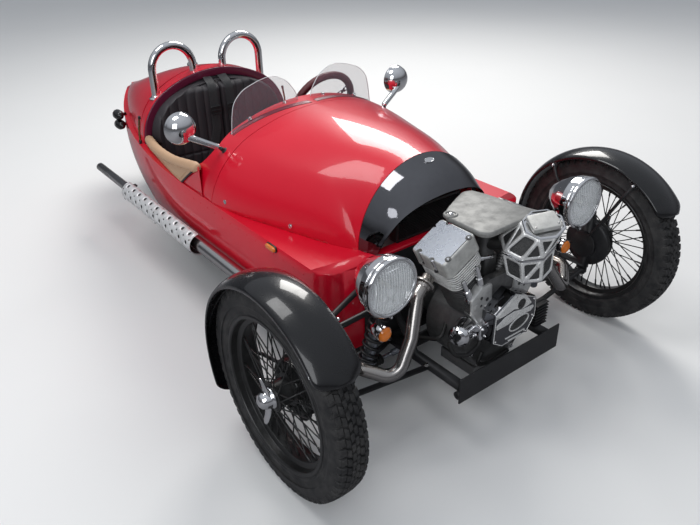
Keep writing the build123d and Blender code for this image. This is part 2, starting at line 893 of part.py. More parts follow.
with BuildPart() as mudguard_left:
    lead = radians(guard_front_angle)
    guard_plane = Plane(origin=axle, x_dir=(1, 0, 0), z_dir=(0, -sin(lead), -cos(lead)))
    with BuildSketch(guard_plane):
        with BuildLine():
            ThreePointArc(
                (-guard_half, guard_edge_radius), (0, guard_radius), (guard_half, guard_edge_radius)
            )
            Line((guard_half, guard_edge_radius), (guard_half - guard_sheet, guard_edge_radius))
            ThreePointArc(
                (guard_half - guard_sheet, guard_edge_radius),
                (0, guard_radius - guard_sheet),
                (-guard_half + guard_sheet, guard_edge_radius),
            )
            Line((-guard_half + guard_sheet, guard_edge_radius), (-guard_half, guard_edge_radius))
        make_face()
    revolve(axis=Axis(axle, (-1, 0, 0)), revolution_arc=guard_rear_angle - guard_front_angle)
    stay_x = kingpin_x - 21
    for angle in (62, 125, 195):
        lean = radians(angle)
        tip = (
            stay_x + 10,
            front_axle_y - (guard_edge_radius + 4) * cos(lean),
            front_tyre_radius + (guard_edge_radius + 4) * sin(lean),
        )
        root = (stay_x, front_axle_y - 40 * cos(lean), front_tyre_radius + 40 * sin(lean))
        add(rod(root, tip, 6))
    add(rod(on_axle(stay_x - 6), on_axle(stay_x + 7), 55))
save(mudguard_left, "mudguard_left")

with BuildPart() as mudguard_right:
    mirror(mudguard_left.part, about=Plane.YZ)
save(mudguard_right, "mudguard_right")


def tyre_solid(centre, radius, width, rim):
    """Tyre ring: bead between the rim's flanges, bulging walls, square shoulders, crowned tread.

    The rim is given as its bead radius, half width and flange radius.
    """
    bead_radius, rim_half, flange_radius = rim
    half = width / 2
    bead = rim_half - rim_metal - seat_clearance
    base = bead_radius + seat_clearance
    lip = flange_radius + 1
    shoulder = half * 0.86
    edge = (shoulder, radius * 0.968)
    tread = (shoulder * 0.9, radius * 0.985)
    belly = (half, (lip + edge[1]) / 2)
    plane = Plane(origin=centre, x_dir=(1, 0, 0), z_dir=(0, -1, 0))
    with BuildPart() as tyre:
        with BuildSketch(plane):
            with BuildLine():
                Line((0, base), (bead, base))
                Line((bead, base), (bead, lip))
                ThreePointArc((bead, lip), belly, edge)
                Line(edge, tread)
                ThreePointArc(tread, (0, radius), (-tread[0], tread[1]))
                Line((-tread[0], tread[1]), (-edge[0], edge[1]))
                ThreePointArc((-edge[0], edge[1]), (-belly[0], belly[1]), (-bead, lip))
                Line((-bead, lip), (-bead, base))
                Line((-bead, base), (0, base))
            make_face()
        revolve(axis=Axis(centre, (1, 0, 0)))
    return tyre.part


with BuildPart() as tyre_front_left:
    front_rim = (front_bead_radius, front_rim_width / 2, front_rim_radius)
    add(tyre_solid(axle, front_tyre_radius, front_tyre_width, front_rim))
save(tyre_front_left, "tyre_front_left")

with BuildPart() as tyre_front_right:
    mirror(tyre_front_left.part, about=Plane.YZ)
save(tyre_front_right, "tyre_front_right")


def rim_profile(bead, half, flange, well):
    """Rim section as rows of distance along the axle and radius."""
    inner = bead - rim_metal
    deep = bead - well
    return (
        (-half, flange),
        (-half + rim_metal, flange),
        (-half + rim_metal, bead),
        (-half * 0.5, bead),
        (-half * 0.35, deep),
        (half * 0.35, deep),
        (half * 0.5, bead),
        (half - rim_metal, bead),
        (half - rim_metal, flange),
        (half, flange),
        (half, inner),
        (half * 0.5, inner),
        (half * 0.35, deep - rim_metal),
        (-half * 0.35, deep - rim_metal),
        (-half * 0.5, inner),
        (-half, inner),
    )


hub_start = inner_face + 9 - front_wheel_x
hub_end = hub_start + hub_length
flange_x = hub_start + drum_width + 4
spinner_tip = overall_width / 2 - front_wheel_x
with BuildPart() as wheel_front_left:
    add(turned(rim_profile(*front_rim, rim_well_depth), axle, (1, 0, 0)))
    hub_profile = (
        (hub_start, hub_bore_radius),
        (hub_start, drum_radius),
        (hub_start + drum_width, drum_radius),
        (hub_start + drum_width, hub_flange_radius),
        (flange_x + 4, hub_flange_radius),
        (flange_x + 8, hub_barrel_radius),
        (hub_end - 6, hub_barrel_radius),
        (hub_end - 4, hub_flange_radius * 0.85),
        (hub_end, hub_flange_radius * 0.85),
        (hub_end, spinner_radius + 4),
        (hub_end + 6, spinner_radius),
        (spinner_tip - 14, spinner_radius * 0.9),
        (spinner_tip, spinner_radius * 0.35),
        (spinner_tip, 0),
        (hub_end - 4, 0),
        (hub_end - 4, hub_bore_radius),
    )
    add(turned(hub_profile, axle, (1, 0, 0)))
    well_radius = front_bead_radius - rim_well_depth - rim_metal / 2
    spoke_rows = (
        (flange_x + 2, hub_flange_radius - 6, -12, 26),
        (flange_x + 2, hub_flange_radius - 6, -4, -26),
        (hub_end - 2, hub_flange_radius * 0.85 - 5, 6, 26),
        (hub_end - 2, hub_flange_radius * 0.85 - 5, 13, -26),
    )
    spokes = []
    for row, (hub_x, hub_radius, rim_x, lead) in enumerate(spoke_rows):
        for index in range(spokes_per_flange // 2):
            angle = radians((index + row / 4) * 720 / spokes_per_flange)
            far = angle + radians(lead)
            start = Vector(*axle) + Vector(hub_x, hub_radius * cos(angle), hub_radius * sin(angle))
            end = Vector(*axle) + Vector(rim_x, well_radius * cos(far), well_radius * sin(far))
            run = end - start
            with BuildPart(mode=Mode.PRIVATE) as spoke:
                with BuildSketch(Plane(origin=start, z_dir=run)):
                    RegularPolygon(spoke_thickness / 2, 4)
                extrude(amount=run.length)
            spokes.append(spoke.part)
    add(spokes)
    ear_origin = on_axle(front_wheel_x + hub_end + 8)
    with BuildSketch(Plane(origin=ear_origin, x_dir=(0, 1, 0), z_dir=(1, 0, 0))):
        with BuildLine():
            Polyline(
                (-12, spinner_ear),
                (12, spinner_ear),
                (24, 0),
                (12, -spinner_ear),
                (-12, -spinner_ear),
                (-24, 0),
                close=True,
            )
        make_face()
    extrude(amount=14)
save(wheel_front_left, "wheel_front_left")

with BuildPart() as wheel_front_right:
    mirror(wheel_front_left.part, about=Plane.YZ)
save(wheel_front_right, "wheel_front_right")

# Rear wheel, swing arm and dampers
rear_axle = (0, rear_axle_y, rear_tyre_radius)
with BuildPart() as tyre_rear:
    rear_rim = (rear_bead_radius, rear_rim_width / 2, rear_rim_radius)
    add(tyre_solid(rear_axle, rear_tyre_radius, rear_tyre_width, rear_rim))
save(tyre_rear, "tyre_rear")

with BuildPart() as wheel_rear:
    add(turned(rim_profile(*rear_rim, rear_well_depth), rear_axle, (1, 0, 0)))
    rear_half = rear_hub_length / 2
    hub_rows = (
        (-rear_half, rear_axle_radius + running_clearance),
        (-rear_half, rear_hub_radius),
        (-12, rear_hub_radius + 10),
        (-8, rear_rim_radius - 34),
        (8, rear_rim_radius - 34),
        (12, rear_hub_radius + 10),
        (rear_half, rear_hub_radius),
        (rear_half, rear_axle_radius + running_clearance),
    )
    add(turned(hub_rows, rear_axle, (1, 0, 0)))
    with BuildSketch(Plane.YZ.offset(-20)):
        with Locations((rear_axle_y, rear_tyre_radius)):
            with PolarLocations(rear_hole_ring, rear_holes):
                Circle(rear_hole_radius)
    extrude(amount=40, mode=Mode.SUBTRACT)
save(wheel_rear, "wheel_rear")


def on_rear_axle(x):
    """Point of the rear axle at one distance from the car's middle."""
    return (x, rear_axle_y, rear_tyre_radius)


with BuildPart() as swing_arm:
    add(rod((arm_x, *pivot), on_rear_axle(arm_x), arm_tube))
    add(rod((0, *pivot), (arm_x + 22, *pivot), arm_tube + 6))
    add(rod(on_rear_axle(0), on_rear_axle(arm_x + 26), rear_axle_radius))
    add(rod(on_rear_axle(arm_x - 22), on_rear_axle(arm_x + 22), arm_tube + 9))
    with Locations((arm_x, rear_bulkhead_y + bulkhead_thickness, pivot[1])):
        Box(
            44,
            pivot[0] - rear_bulkhead_y - bulkhead_thickness,
            60,
            align=(Align.CENTER, Align.MIN, Align.CENTER),
        )
    mirror(about=Plane.YZ)
save(swing_arm, "swing_arm")

with BuildPart() as wheel_arch:
    with BuildSketch(Plane.XY.offset(floor_z)):
        add(plan_face(0, tub_wall + 1))
        with Locations((0, rear_bulkhead_y + bulkhead_thickness)):
            Rectangle(
                2 * tub_half,
                tail_y - rear_bulkhead_y - 160,
                align=(Align.CENTER, Align.MIN),
                mode=Mode.INTERSECT,
            )
    extrude(amount=5)
    with BuildSketch(Plane.YZ):
        with Locations((rear_axle_y, rear_tyre_radius)):
            Circle(arch_radius)
    extrude(amount=hood_half, both=True)
    with BuildSketch(Plane.YZ):
        with Locations((rear_axle_y, rear_tyre_radius)):
            Circle(arch_radius - panel)
    extrude(amount=hood_half - panel, both=True, mode=Mode.SUBTRACT)
    with Locations((0, rear_axle_y, floor_z)):
        Box(
            2 * hood_half + 2,
            2 * arch_radius + 2,
            2 * floor_z,
            align=(Align.CENTER, Align.CENTER, Align.MAX),
            mode=Mode.SUBTRACT,
        )
save(wheel_arch, "wheel_arch")

with BuildPart() as rear_dampers:
    foot = (arm_x, place(2250), 320)
    top = (arm_x, place(2090), floor_z - 4)
    along = Vector(*top) - Vector(*foot)
    add(rod(foot, top, 9))
    add(rod(tuple(Vector(*foot) + along * 0.2), tuple(Vector(*foot) + along * 0.8), 24))
    add(swing_arm.part, mode=Mode.SUBTRACT)
    add(wheel_arch.part, mode=Mode.SUBTRACT)
    mirror(about=Plane.YZ)
save(rear_dampers, "rear_dampers")

# Headlamps, indicators, side markers and tail lights
with BuildPart() as headlamps:
    lamp = headlamp_centre
    bowl = (
        (0, headlamp_radius - 8),
        (-4, headlamp_radius),
        (12, headlamp_radius),
        (16, headlamp_radius - 4),
        (60, headlamp_radius - 12),
        (110, headlamp_radius - 42),
        (140, headlamp_radius - 75),
        (headlamp_depth, 0),
        (24, 0),
        (6, headlamp_radius - 10),
    )
    add(turned(bowl, lamp, (0, 1, 0)))
    add(front_frame.part, mode=Mode.SUBTRACT)
    mirror(about=Plane.YZ)
save(headlamps, "headlamps")

with BuildPart() as headlamp_lenses:
    glass = (
        (-14, 0),
        (-9, 50),
        (-2, headlamp_radius - 14),
        (4, headlamp_radius - 10.5),
        (8, headlamp_radius - 20),
        (8, 0),
    )
    add(turned(glass, lamp, (0, 1, 0)))
    add(headlamps.part, mode=Mode.SUBTRACT)
    mirror(about=Plane.YZ)
save(headlamp_lenses, "headlamp_lenses")

with BuildPart() as indicators:
    bullet = (
        (0, 0),
        (0, indicator_radius),
        (24, indicator_radius),
        (50, indicator_radius - 9),
        (66, 0),
    )
    add(turned(bullet, indicator_centre, (0, 1, 0)))
    add(front_frame.part, mode=Mode.SUBTRACT)
    mirror(about=Plane.YZ)
save(indicators, "indicators")

with BuildPart() as indicator_lenses:
    dome = ((0, 0), (0, indicator_radius - 2), (-8, indicator_radius - 5), (-14, 0))
    add(turned(dome, indicator_centre, (0, 1, 0)))
    mirror(about=Plane.YZ)
save(indicator_lenses, "indicator_lenses")

with BuildPart() as side_markers:
    with Locations((tub_half + 3, place(484), 528)):
        Box(22, 60, 20)
    add(tub_body.part, mode=Mode.SUBTRACT)
    mirror(about=Plane.YZ)
save(side_markers, "side_markers")

with BuildPart() as tail_lights:
    bullet = (
        (0, 0),
        (0, tail_light_radius),
        (24, tail_light_radius),
        (46, tail_light_radius - 8),
        (58, 0),
    )
    light_x = tub_half_at(2290) + tail_light_radius + 3
    for light_z in tail_light_z:
        add(turned(bullet, (light_x, place(2318), light_z), (0, -1, 0)))
        add(rod((light_x, place(2296), light_z), (light_x - 40, place(2296), light_z), 9))
    add(tub_body.part, mode=Mode.SUBTRACT)
    mirror(about=Plane.YZ)
save(tail_lights, "tail_lights")

# Engine
bank = radians(bank_angle)
bank_axis = Vector(sin(bank), 0, cos(bank))
case_length = case_rear - case_front
cam_chest_corners = (
    (-62, 524),
    (-104, 512),
    (-152, 474),
    (-148, 420),
    (-95, 350),
    (95, 350),
    (148, 420),
    (152, 474),
    (104, 512),
    (62, 524),
)
with BuildPart() as crankcase:
    drum = (
        (0, 0),
        (0, case_radius - case_bevel),
        (case_bevel, case_radius),
        (case_length - case_bevel, case_radius),
        (case_length, case_radius - case_bevel),
        (case_length, 0),
    )
    add(turned(drum, (0, case_front, crank_z), (0, 1, 0)))
    for side in (-1, 1):
        deck = Plane(
            origin=(0, engine_y, crank_z),
            x_dir=(0, 1, 0),
            z_dir=(side * bank_axis.X, 0, bank_axis.Z),
        )
        with BuildSketch(deck):
            Rectangle(2 * barrel_fin_radius, 2 * barrel_fin_radius)
        extrude(amount=deck_distance)
        with BuildSketch(deck.offset(deck_distance)):
            Rectangle(4 * case_radius, 4 * case_radius)
        extrude(amount=60, mode=Mode.SUBTRACT)
    # Cam chest, in front of both barrels
    with BuildSketch(Plane.XZ.offset(-case_front)):
        with BuildLine():
            Polyline(*cam_chest_corners, close=True)
        make_face()
        fillet(vertices(), radius=16)
    extrude(amount=-28)
    add(rod((0, case_rear, crank_z), (0, tub_front, crank_z), gear_tunnel_radius))
    with Locations((0, engine_y, crank_z - case_radius)):
        Box(180, 160, 40)
save(crankcase, "crankcase")

base = Plane(origin=(0, engine_y, crank_z), x_dir=(0, 1, 0), z_dir=bank_axis)
lower_head_start = deck_distance + barrel_length
head_start = lower_head_start + lower_head_length
cover_start = head_start + head_length
with BuildPart() as cylinders:
    with BuildSketch(base.offset(deck_distance)):
        Circle(barrel_radius)
    extrude(amount=barrel_length)
    for index in range(int(barrel_length / barrel_fin_pitch)):
        with BuildSketch(base.offset(deck_distance + 6 + index * barrel_fin_pitch)):
            Circle(barrel_fin_radius)
        extrude(amount=barrel_fin)
    with BuildSketch(base.offset(lower_head_start)):
        RectangleRounded(head_y_width - 36, head_x_width - 20, 12)
    extrude(amount=lower_head_length)
    with BuildSketch(base.offset(head_start)):
        RectangleRounded(head_y_width - 20, head_x_width - 20, 10)
    extrude(amount=head_length)
    for index in range(int(head_length / head_fin_pitch)):
        with BuildSketch(base.offset(head_start + index * head_fin_pitch)):
            RectangleRounded(head_y_width, head_x_width, 8)
        extrude(amount=head_fin)
    # Exhaust port on the outboard side
    port = [base.from_local_coords((27, v, 318)) for v in (-40, -86)]
    add(rod(tuple(port[0]), tuple(port[1]), port_radius))
    mirror(about=Plane.YZ)
save(cylinders, "cylinders")

cover_screws = ((74, 34), (36, 70), (-66, 55), (-66, -46), (-18, -72), (42, -66))
with BuildPart() as rocker_covers:
    with BuildSketch(base.offset(cover_start)):
        RectangleRounded(head_y_width, head_x_width, 10)
    extrude(amount=cover_flange)
    with BuildSketch(base.offset(cover_start + cover_flange)):
        RectangleRounded(head_y_width - 4, head_x_width - 4, 8)
    extrude(amount=cover_height - cover_flange, taper=4)
    # Screws stand in notches round the top
    with BuildSketch(base.offset(cover_start + cover_flange + 4)):
        with Locations(*cover_screws):
            Circle(cover_notch)
            Circle(cover_screw, mode=Mode.SUBTRACT)
    extrude(amount=cover_height, mode=Mode.SUBTRACT)
    mirror(about=Plane.YZ)
save(rocker_covers, "rocker_covers")

with BuildPart() as pushrod_tubes:
    for foot, head in ((8, 30), (-43, -38)):
        low = base.from_local_coords((-80, foot, 190))
        knee = base.from_local_coords((-80, foot + 0.6 * (head - foot), 262))
        high = base.from_local_coords((-80, head, head_start))
        add(rod(tuple(low), tuple(high), pushrod_radius))
        add(rod(tuple(low), tuple(knee), pushrod_radius + 3))
    add(crankcase.part, mode=Mode.SUBTRACT)
    add(cylinders.part, mode=Mode.SUBTRACT)
    mirror(about=Plane.YZ)
save(pushrod_tubes, "pushrod_tubes")

with BuildPart() as intake_cover:
    with BuildSketch(Plane.XY.offset(intake_z)):
        with BuildLine():
            Polyline(
                (-112, place(-152)),
                (-92, place(-168)),
                (144, place(-160)),
                (138, place(-144)),
                (112, place(-130)),
                (101, place(96)),
                (60, place(120)),
                (-60, place(98)),
                (-112, place(20)),
                close=True,
            )
        make_face()
        fillet(vertices(), radius=6)
    extrude(amount=intake_plate)
    with Locations((0, engine_y, 560)):
        Cylinder(30, intake_z - 560, align=(Align.CENTER, Align.CENTER, Align.MIN))
    with Locations((0, engine_y, crank_z + case_radius - 10)):
        Box(60, 80, 130, align=(Align.CENTER, Align.CENTER, Align.MIN))
    add(crankcase.part, mode=Mode.SUBTRACT)
    add(cylinders.part, mode=Mode.SUBTRACT)
    add(rocker_covers.part, mode=Mode.SUBTRACT)
save(intake_cover, "intake_cover")

# Air cleaner: a six sided double frustum with a window in each face; rows are height along the
# axis and radius at the corners
cleaner_rows = ((-79, 80), (-5, 107), (5, 107), (81, 64))
cleaner_plane = Plane(origin=cleaner_centre, x_dir=(0, 1, 0), z_dir=cleaner_lean)


def cleaner_corner(row, index):
    """Corner of one ring of the air cleaner."""
    height, radius = cleaner_rows[row]
    angle = radians(60 * index)
    return cleaner_plane.from_local_coords((radius * cos(angle), radius * sin(angle), height))


with BuildPart() as air_cleaner:
    rings = []
    for height, radius in cleaner_rows:
        with BuildSketch(cleaner_plane.offset(height)) as ring:
            RegularPolygon(radius, 6)
        rings.append(ring.sketch)
    loft(sections=rings, ruled=True)
    for low, high in ((0, 1), (2, 3)):
        for index in range(6):
            corners = [
                cleaner_corner(low, index),
                cleaner_corner(low, index + 1),
                cleaner_corner(high, index + 1),
                cleaner_corner(high, index),
            ]
            middle = (corners[0] + corners[1] + corners[2] + corners[3]) / 4
            window = [middle + (corner - middle) * cleaner_rib for corner in corners]
            inward = (corners[1] - corners[0]).cross(corners[3] - corners[0])
            inward = inward * (1 if inward.dot(Vector(*cleaner_centre) - middle) > 0 else -1)
            face = Face(Wire.make_polygon(window, close=True))
            extrude(face, amount=5, dir=inward, mode=Mode.SUBTRACT)
    add(turned(((-112, 0), (-112, 30), (-78, 36), (-78, 0)), cleaner_centre, cleaner_lean))
    back = cleaner_plane.from_local_coords((0, 0, -20))
    add(rod(tuple(back), (0, engine_y, 600), 24))
    add(intake_cover.part, mode=Mode.SUBTRACT)
    add(cylinders.part, mode=Mode.SUBTRACT)
    add(rocker_covers.part, mode=Mode.SUBTRACT)
    add(crankcase.part, mode=Mode.SUBTRACT)
save(air_cleaner, "air_cleaner")

gearcase_corners = (
    (-5, 480),
    (104, 427),
    (110, 371),
    (106, 345),
    (74, 294),
    (-53, 289),
    (-99, 319),
    (-97, 430),
)
with BuildPart() as gearcase_cover:
    for step, amount, slope in ((0, gearcase_depth, 0), (gearcase_depth, gearcase_bevel, 40)):
        with BuildSketch(Plane.XZ.offset(step - case_front)):
            with BuildLine():
                Polyline(*gearcase_corners, close=True)
            make_face()
        extrude(amount=amount, taper=slope)
    # A round hole and an oval window in the bevelled face
    with BuildSketch(Plane.XZ.offset(gearcase_depth + gearcase_bevel - case_front)):
        with Locations((25, 428)):
            Circle(20)
        with Locations(Location((24, 358), 10)):
            Ellipse(48, 25)
    extrude(amount=-6, mode=Mode.SUBTRACT)
save(gearcase_cover, "gearcase_cover")

# Oil pump and filter at the crankcase's right front, finned regulator at its left front
with BuildPart() as oil_filter:
    add(rod((-110, place(-112), 350), (-212, place(-160), 366), 36))
    with Locations((-104, place(-164), 350)):
        Box(40, 28, 60)
    add(crankcase.part, mode=Mode.SUBTRACT)
    add(gearcase_cover.part, mode=Mode.SUBTRACT)
save(oil_filter, "oil_filter")

with BuildPart() as regulator:
    with Locations((190, place(-160), 300)):
        Box(66, 14, 92)
    for index in range(8):
        with Locations((190, place(-176), 258 + 12 * index)):
            Box(66, 20, 4)
    with Locations((138, place(-157), 300)):
        Box(60, 8, 40)
    add(rod((122, place(-140), 300), (122, place(-158), 300), 12))
    add(crankcase.part, mode=Mode.SUBTRACT)
    add(gearcase_cover.part, mode=Mode.SUBTRACT)
save(regulator, "regulator")

with BuildPart() as front_plate:
    with Locations((0, frame_front - cross_radius, rail_z)):
        Box(
            plate_width,
            plate_sheet,
            plate_height,
            align=(Align.CENTER, Align.MAX, Align.CENTER),
        )
save(front_plate, "front_plate")

with BuildPart() as oil_cooler:
    with Locations((0, place(222), ledge_z)):
        Box(300, 40, 120, align=(Align.CENTER, Align.CENTER, Align.MIN))
    add(tub_body.part, mode=Mode.SUBTRACT)
save(oil_cooler, "oil_cooler")

# Exhausts and heat shields
with BuildPart() as exhausts:
    header = (
        (225, place(-30), 540),
        (290, place(-50), 505),
        (345, place(-88), 385),
        (420, place(-108), 272),
        (exhaust_x, place(-30), exhaust_z),
        (exhaust_x, place(180), exhaust_z),
    )
    add(pipe(header, (30, 60, 55, 40), header_radius))
    add(rod((exhaust_x, place(60), exhaust_z), (exhaust_x, place(200), exhaust_z), sleeve_radius))
    tail = (
        (0, 0),
        (0, sleeve_radius),
        (20, pipe_radius),
        (1640, pipe_radius),
        (1680, tail_pipe_radius),
        (exhaust_end - place(190), tail_pipe_radius),
        (exhaust_end - place(190), tail_pipe_bore),
        (exhaust_end - place(190) - 140, tail_pipe_bore),
        (exhaust_end - place(190) - 140, 0),
    )
    add(turned(tail, (exhaust_x, place(190), exhaust_z), (0, 1, 0)))
    for bracket in (700, 1840):
        with Locations((exhaust_x - 20, place(bracket), exhaust_z)):
            Box(60, 30, 6)
    add(cylinders.part, mode=Mode.SUBTRACT)
    add(tub_body.part, mode=Mode.SUBTRACT)
    mirror(about=Plane.YZ)
save(exhausts, "exhausts")

with BuildPart() as heat_shields:
    with BuildSketch(Plane.XZ.offset(-shield_front)):
        with Locations((exhaust_x, exhaust_z)):
            Circle(shield_radius)
            Circle(shield_radius - shield_sheet, mode=Mode.SUBTRACT)
            Rectangle(
                2 * shield_radius,
                2 * shield_radius,
                align=(Align.MAX, Align.CENTER),
                mode=Mode.SUBTRACT,
            )
    extrude(amount=shield_front - shield_rear)
    # Rows of round holes
    holes = int((shield_rear - shield_front) / shield_hole_pitch)
    shield_middle = (exhaust_x, (shield_front + shield_rear) / 2, exhaust_z)
    for lean in shield_row_angles:
        row_direction = (cos(radians(lean)), 0, sin(radians(lean)))
        with BuildSketch(Plane(origin=shield_middle, x_dir=(0, 1, 0), z_dir=row_direction)):
            with GridLocations(shield_hole_pitch, 1, holes, 1):
                Circle(shield_hole)
        extrude(amount=shield_radius + 1, mode=Mode.SUBTRACT)
    # Standoffs between the holes
    for step in (-4.5, 0.5, 4.5):
        at = shield_middle[1] + step * shield_hole_pitch
        inner = (exhaust_x + pipe_radius + seat_clearance, at, exhaust_z)
        add(rod(inner, (exhaust_x + shield_radius - 1, at, exhaust_z), 5))
    mirror(about=Plane.YZ)
save(heat_shields, "heat_shields")
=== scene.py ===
"""Looks of a three wheeled open car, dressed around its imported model.

Sizes are millimetres in the model's frame: +Z up, the nose points to -Y, the car's left is +X.
Every surface is worked out as whole arrays and becomes a mesh in metres.
"""

import json
import logging
import math
from dataclasses import dataclass, field
from enum import Enum
from typing import Optional, Sequence, Union

import bmesh
import bpy
import numpy as np
from mathutils import Matrix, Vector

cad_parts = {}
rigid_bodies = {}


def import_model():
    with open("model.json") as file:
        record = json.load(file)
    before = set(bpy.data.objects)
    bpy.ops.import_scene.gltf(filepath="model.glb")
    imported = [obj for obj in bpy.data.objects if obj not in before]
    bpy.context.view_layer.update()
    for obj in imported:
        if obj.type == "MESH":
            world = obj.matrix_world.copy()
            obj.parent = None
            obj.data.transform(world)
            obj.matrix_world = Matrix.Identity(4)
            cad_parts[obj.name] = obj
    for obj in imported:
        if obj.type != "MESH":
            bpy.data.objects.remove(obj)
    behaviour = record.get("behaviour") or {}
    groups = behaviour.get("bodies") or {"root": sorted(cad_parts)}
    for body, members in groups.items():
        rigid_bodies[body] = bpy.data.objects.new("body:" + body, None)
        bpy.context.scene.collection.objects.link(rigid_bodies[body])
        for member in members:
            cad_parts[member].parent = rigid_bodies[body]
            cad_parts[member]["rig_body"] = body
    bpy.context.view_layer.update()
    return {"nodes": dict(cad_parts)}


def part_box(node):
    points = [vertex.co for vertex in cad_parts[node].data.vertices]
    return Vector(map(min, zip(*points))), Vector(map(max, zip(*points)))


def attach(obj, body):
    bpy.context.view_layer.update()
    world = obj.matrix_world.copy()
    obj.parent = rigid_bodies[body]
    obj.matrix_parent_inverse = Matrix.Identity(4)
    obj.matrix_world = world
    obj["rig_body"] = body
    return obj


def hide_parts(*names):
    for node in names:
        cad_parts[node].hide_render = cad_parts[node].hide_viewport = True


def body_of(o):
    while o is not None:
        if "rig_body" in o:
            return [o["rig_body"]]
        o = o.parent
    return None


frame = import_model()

LOG = logging.getLogger("car")
MM = 0.001
NODE_CREASE = 32.0
FRONT_AXLE_Y = -1270.5
FRONT_WHEEL = (765.0, FRONT_AXLE_Y, 342.0)
REAR_WHEEL = (0.0, FRONT_AXLE_Y + 2381.0, 310.0)
LEDGE_Z = 540.0

Point = Sequence[float]
Rows = Sequence[Sequence[float]]


class Body(str, Enum):
    """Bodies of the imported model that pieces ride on."""

    CHASSIS = "chassis"
    STEERING = "steering_wheel"
    RACK = "steering_rack"
    KNUCKLE_LEFT = "knuckle_left"
    KNUCKLE_RIGHT = "knuckle_right"
    FRONT_LEFT = "front_wheel_left"
    FRONT_RIGHT = "front_wheel_right"
    REAR = "rear_wheel"


def place(station: float) -> float:
    """Y of a station measured back from the front axle."""
    return FRONT_AXLE_Y + station


def unit(vectors: np.ndarray) -> np.ndarray:
    """Vectors divided by their lengths, along the last axis."""
    return vectors / np.maximum(np.linalg.norm(vectors, axis=-1, keepdims=True), 1e-9)


def basis(axis: Point, hint: Point = (0.0, 0.0, 1.0)) -> np.ndarray:
    """Axes whose third one is the given direction.

    Args:
        axis: direction of the third axis.
        hint: direction that the second axis leans towards.

    Returns:
        Rows are the three unit axes, right handed.
    """
    third = unit(np.asarray(axis, float))
    lean = np.asarray(hint, float)
    if abs(float(third @ unit(lean))) > 0.95:
        lean = np.array((0.0, 1.0, 0.0)) if abs(third[1]) < 0.9 else np.array((1.0, 0.0, 0.0))
    first = unit(np.cross(lean, third))
    return np.stack((first, np.cross(third, first), third))


def fillet(
    points: Rows, radius: Union[float, Sequence[float]], steps: int = 5, closed: bool = False
) -> np.ndarray:
    """Polyline whose corners become circle arcs.

    Each arc is a rational quadratic curve: its ends lie the tangent length, radius times the
    tangent of half the turn, along the two runs, and its middle weight is the cosine of that half.

    Args:
        points: corners in order.
        radius: bend radius, one for all corners or one for each.
        steps: runs in each arc.
        closed: True where the last corner joins the first.

    Returns:
        Points of the rounded line.
    """
    corners = np.asarray(points, float)
    if closed:
        before, here, after = np.roll(corners, 1, 0), corners, np.roll(corners, -1, 0)
    else:
        before, here, after = corners[:-2], corners[1:-1], corners[2:]
    back, ahead = before - here, after - here
    back_run = np.linalg.norm(back, axis=1, keepdims=True)
    ahead_run = np.linalg.norm(ahead, axis=1, keepdims=True)
    back, ahead = unit(back), unit(ahead)
    half_turn = 0.5 * (math.pi - np.arccos(np.clip((back * ahead).sum(1), -1, 1)))[:, None]
    radii = np.broadcast_to(np.asarray(radius, float).reshape(-1, 1), half_turn.shape)
    reach = np.minimum(radii * np.tan(half_turn), 0.49 * np.minimum(back_run, ahead_run))
    start, end = here + back * reach, here + ahead * reach
    t = np.linspace(0, 1, steps + 1)[None, :, None]
    weight = np.cos(half_turn)[:, None]
    first, middle, last = (1 - t) ** 2, 2 * weight * t * (1 - t), t**2
    arcs = first * start[:, None] + middle * here[:, None] + last * end[:, None]
    arcs = (arcs / (first + middle + last)).reshape(-1, corners.shape[1])
    return arcs if closed else np.concatenate((corners[:1], arcs, corners[-1:]))


def spline(knots: Rows, at: np.ndarray) -> np.ndarray:
    """Smooth curve through rows of (place, value, ...), a Hermite cubic with centred slopes.

    Args:
        knots: rows whose first column rises.
        at: places to read.

    Returns:
        Values at those places, one row each.
    """
    table = np.asarray(knots, float)
    x, y = table[:, 0], table[:, 1:]
    run = np.diff(x)[:, None]
    slope = np.diff(y, axis=0) / run
    inner = (slope[:-1] * run[1:] + slope[1:] * run[:-1]) / (run[:-1] + run[1:])
    first = slope[:1] * 1.5 - 0.5 * (inner[:1] if len(inner) else slope[:1])
    last = slope[-1:] * 1.5 - 0.5 * (inner[-1:] if len(inner) else slope[-1:])
    tangent = np.concatenate((first, inner, last))
    at = np.asarray(at, float)
    cell = np.clip(np.searchsorted(x, at, side="right") - 1, 0, len(x) - 2)
    h = run[cell]
    t = ((at - x[cell])[..., None]) / h
    return (
        (2 * t**3 - 3 * t**2 + 1) * y[cell]
        + (t**3 - 2 * t**2 + t) * h * tangent[cell]
        + (3 * t**2 - 2 * t**3) * y[cell + 1]
        + (t**3 - t**2) * h * tangent[cell + 1]
    )


def round_rectangle(width: float, height: float, radius: float, steps: int = 6) -> np.ndarray:
    """Outline of a rectangle with arcs for corners, centred on the origin."""
    w, h = width / 2, height / 2
    return fillet(((w, -h), (w, h), (-w, h), (-w, -h)), radius, steps, closed=True)


def circle(radius: float, steps: int = 48) -> np.ndarray:
    """Outline of a circle centred on the origin."""
    turn = np.arange(steps) * 2 * math.pi / steps
    return radius * np.stack((np.cos(turn), np.sin(turn)), 1)


def inward(outline: np.ndarray, distance: float) -> np.ndarray:
    """Closed outline moved in along its own normals, with mitred corners.

    Args:
        outline: points in order, anticlockwise.
        distance: how far the edges move in.

    Returns:
        The smaller outline.
    """
    run = unit(np.roll(outline, -1, 0) - outline)
    normal = np.stack((-run[:, 1], run[:, 0]), 1)
    before = np.roll(normal, 1, 0)
    share = 1 + (before * normal).sum(1, keepdims=True)
    return outline + distance * (before + normal) / np.maximum(share, 0.3)


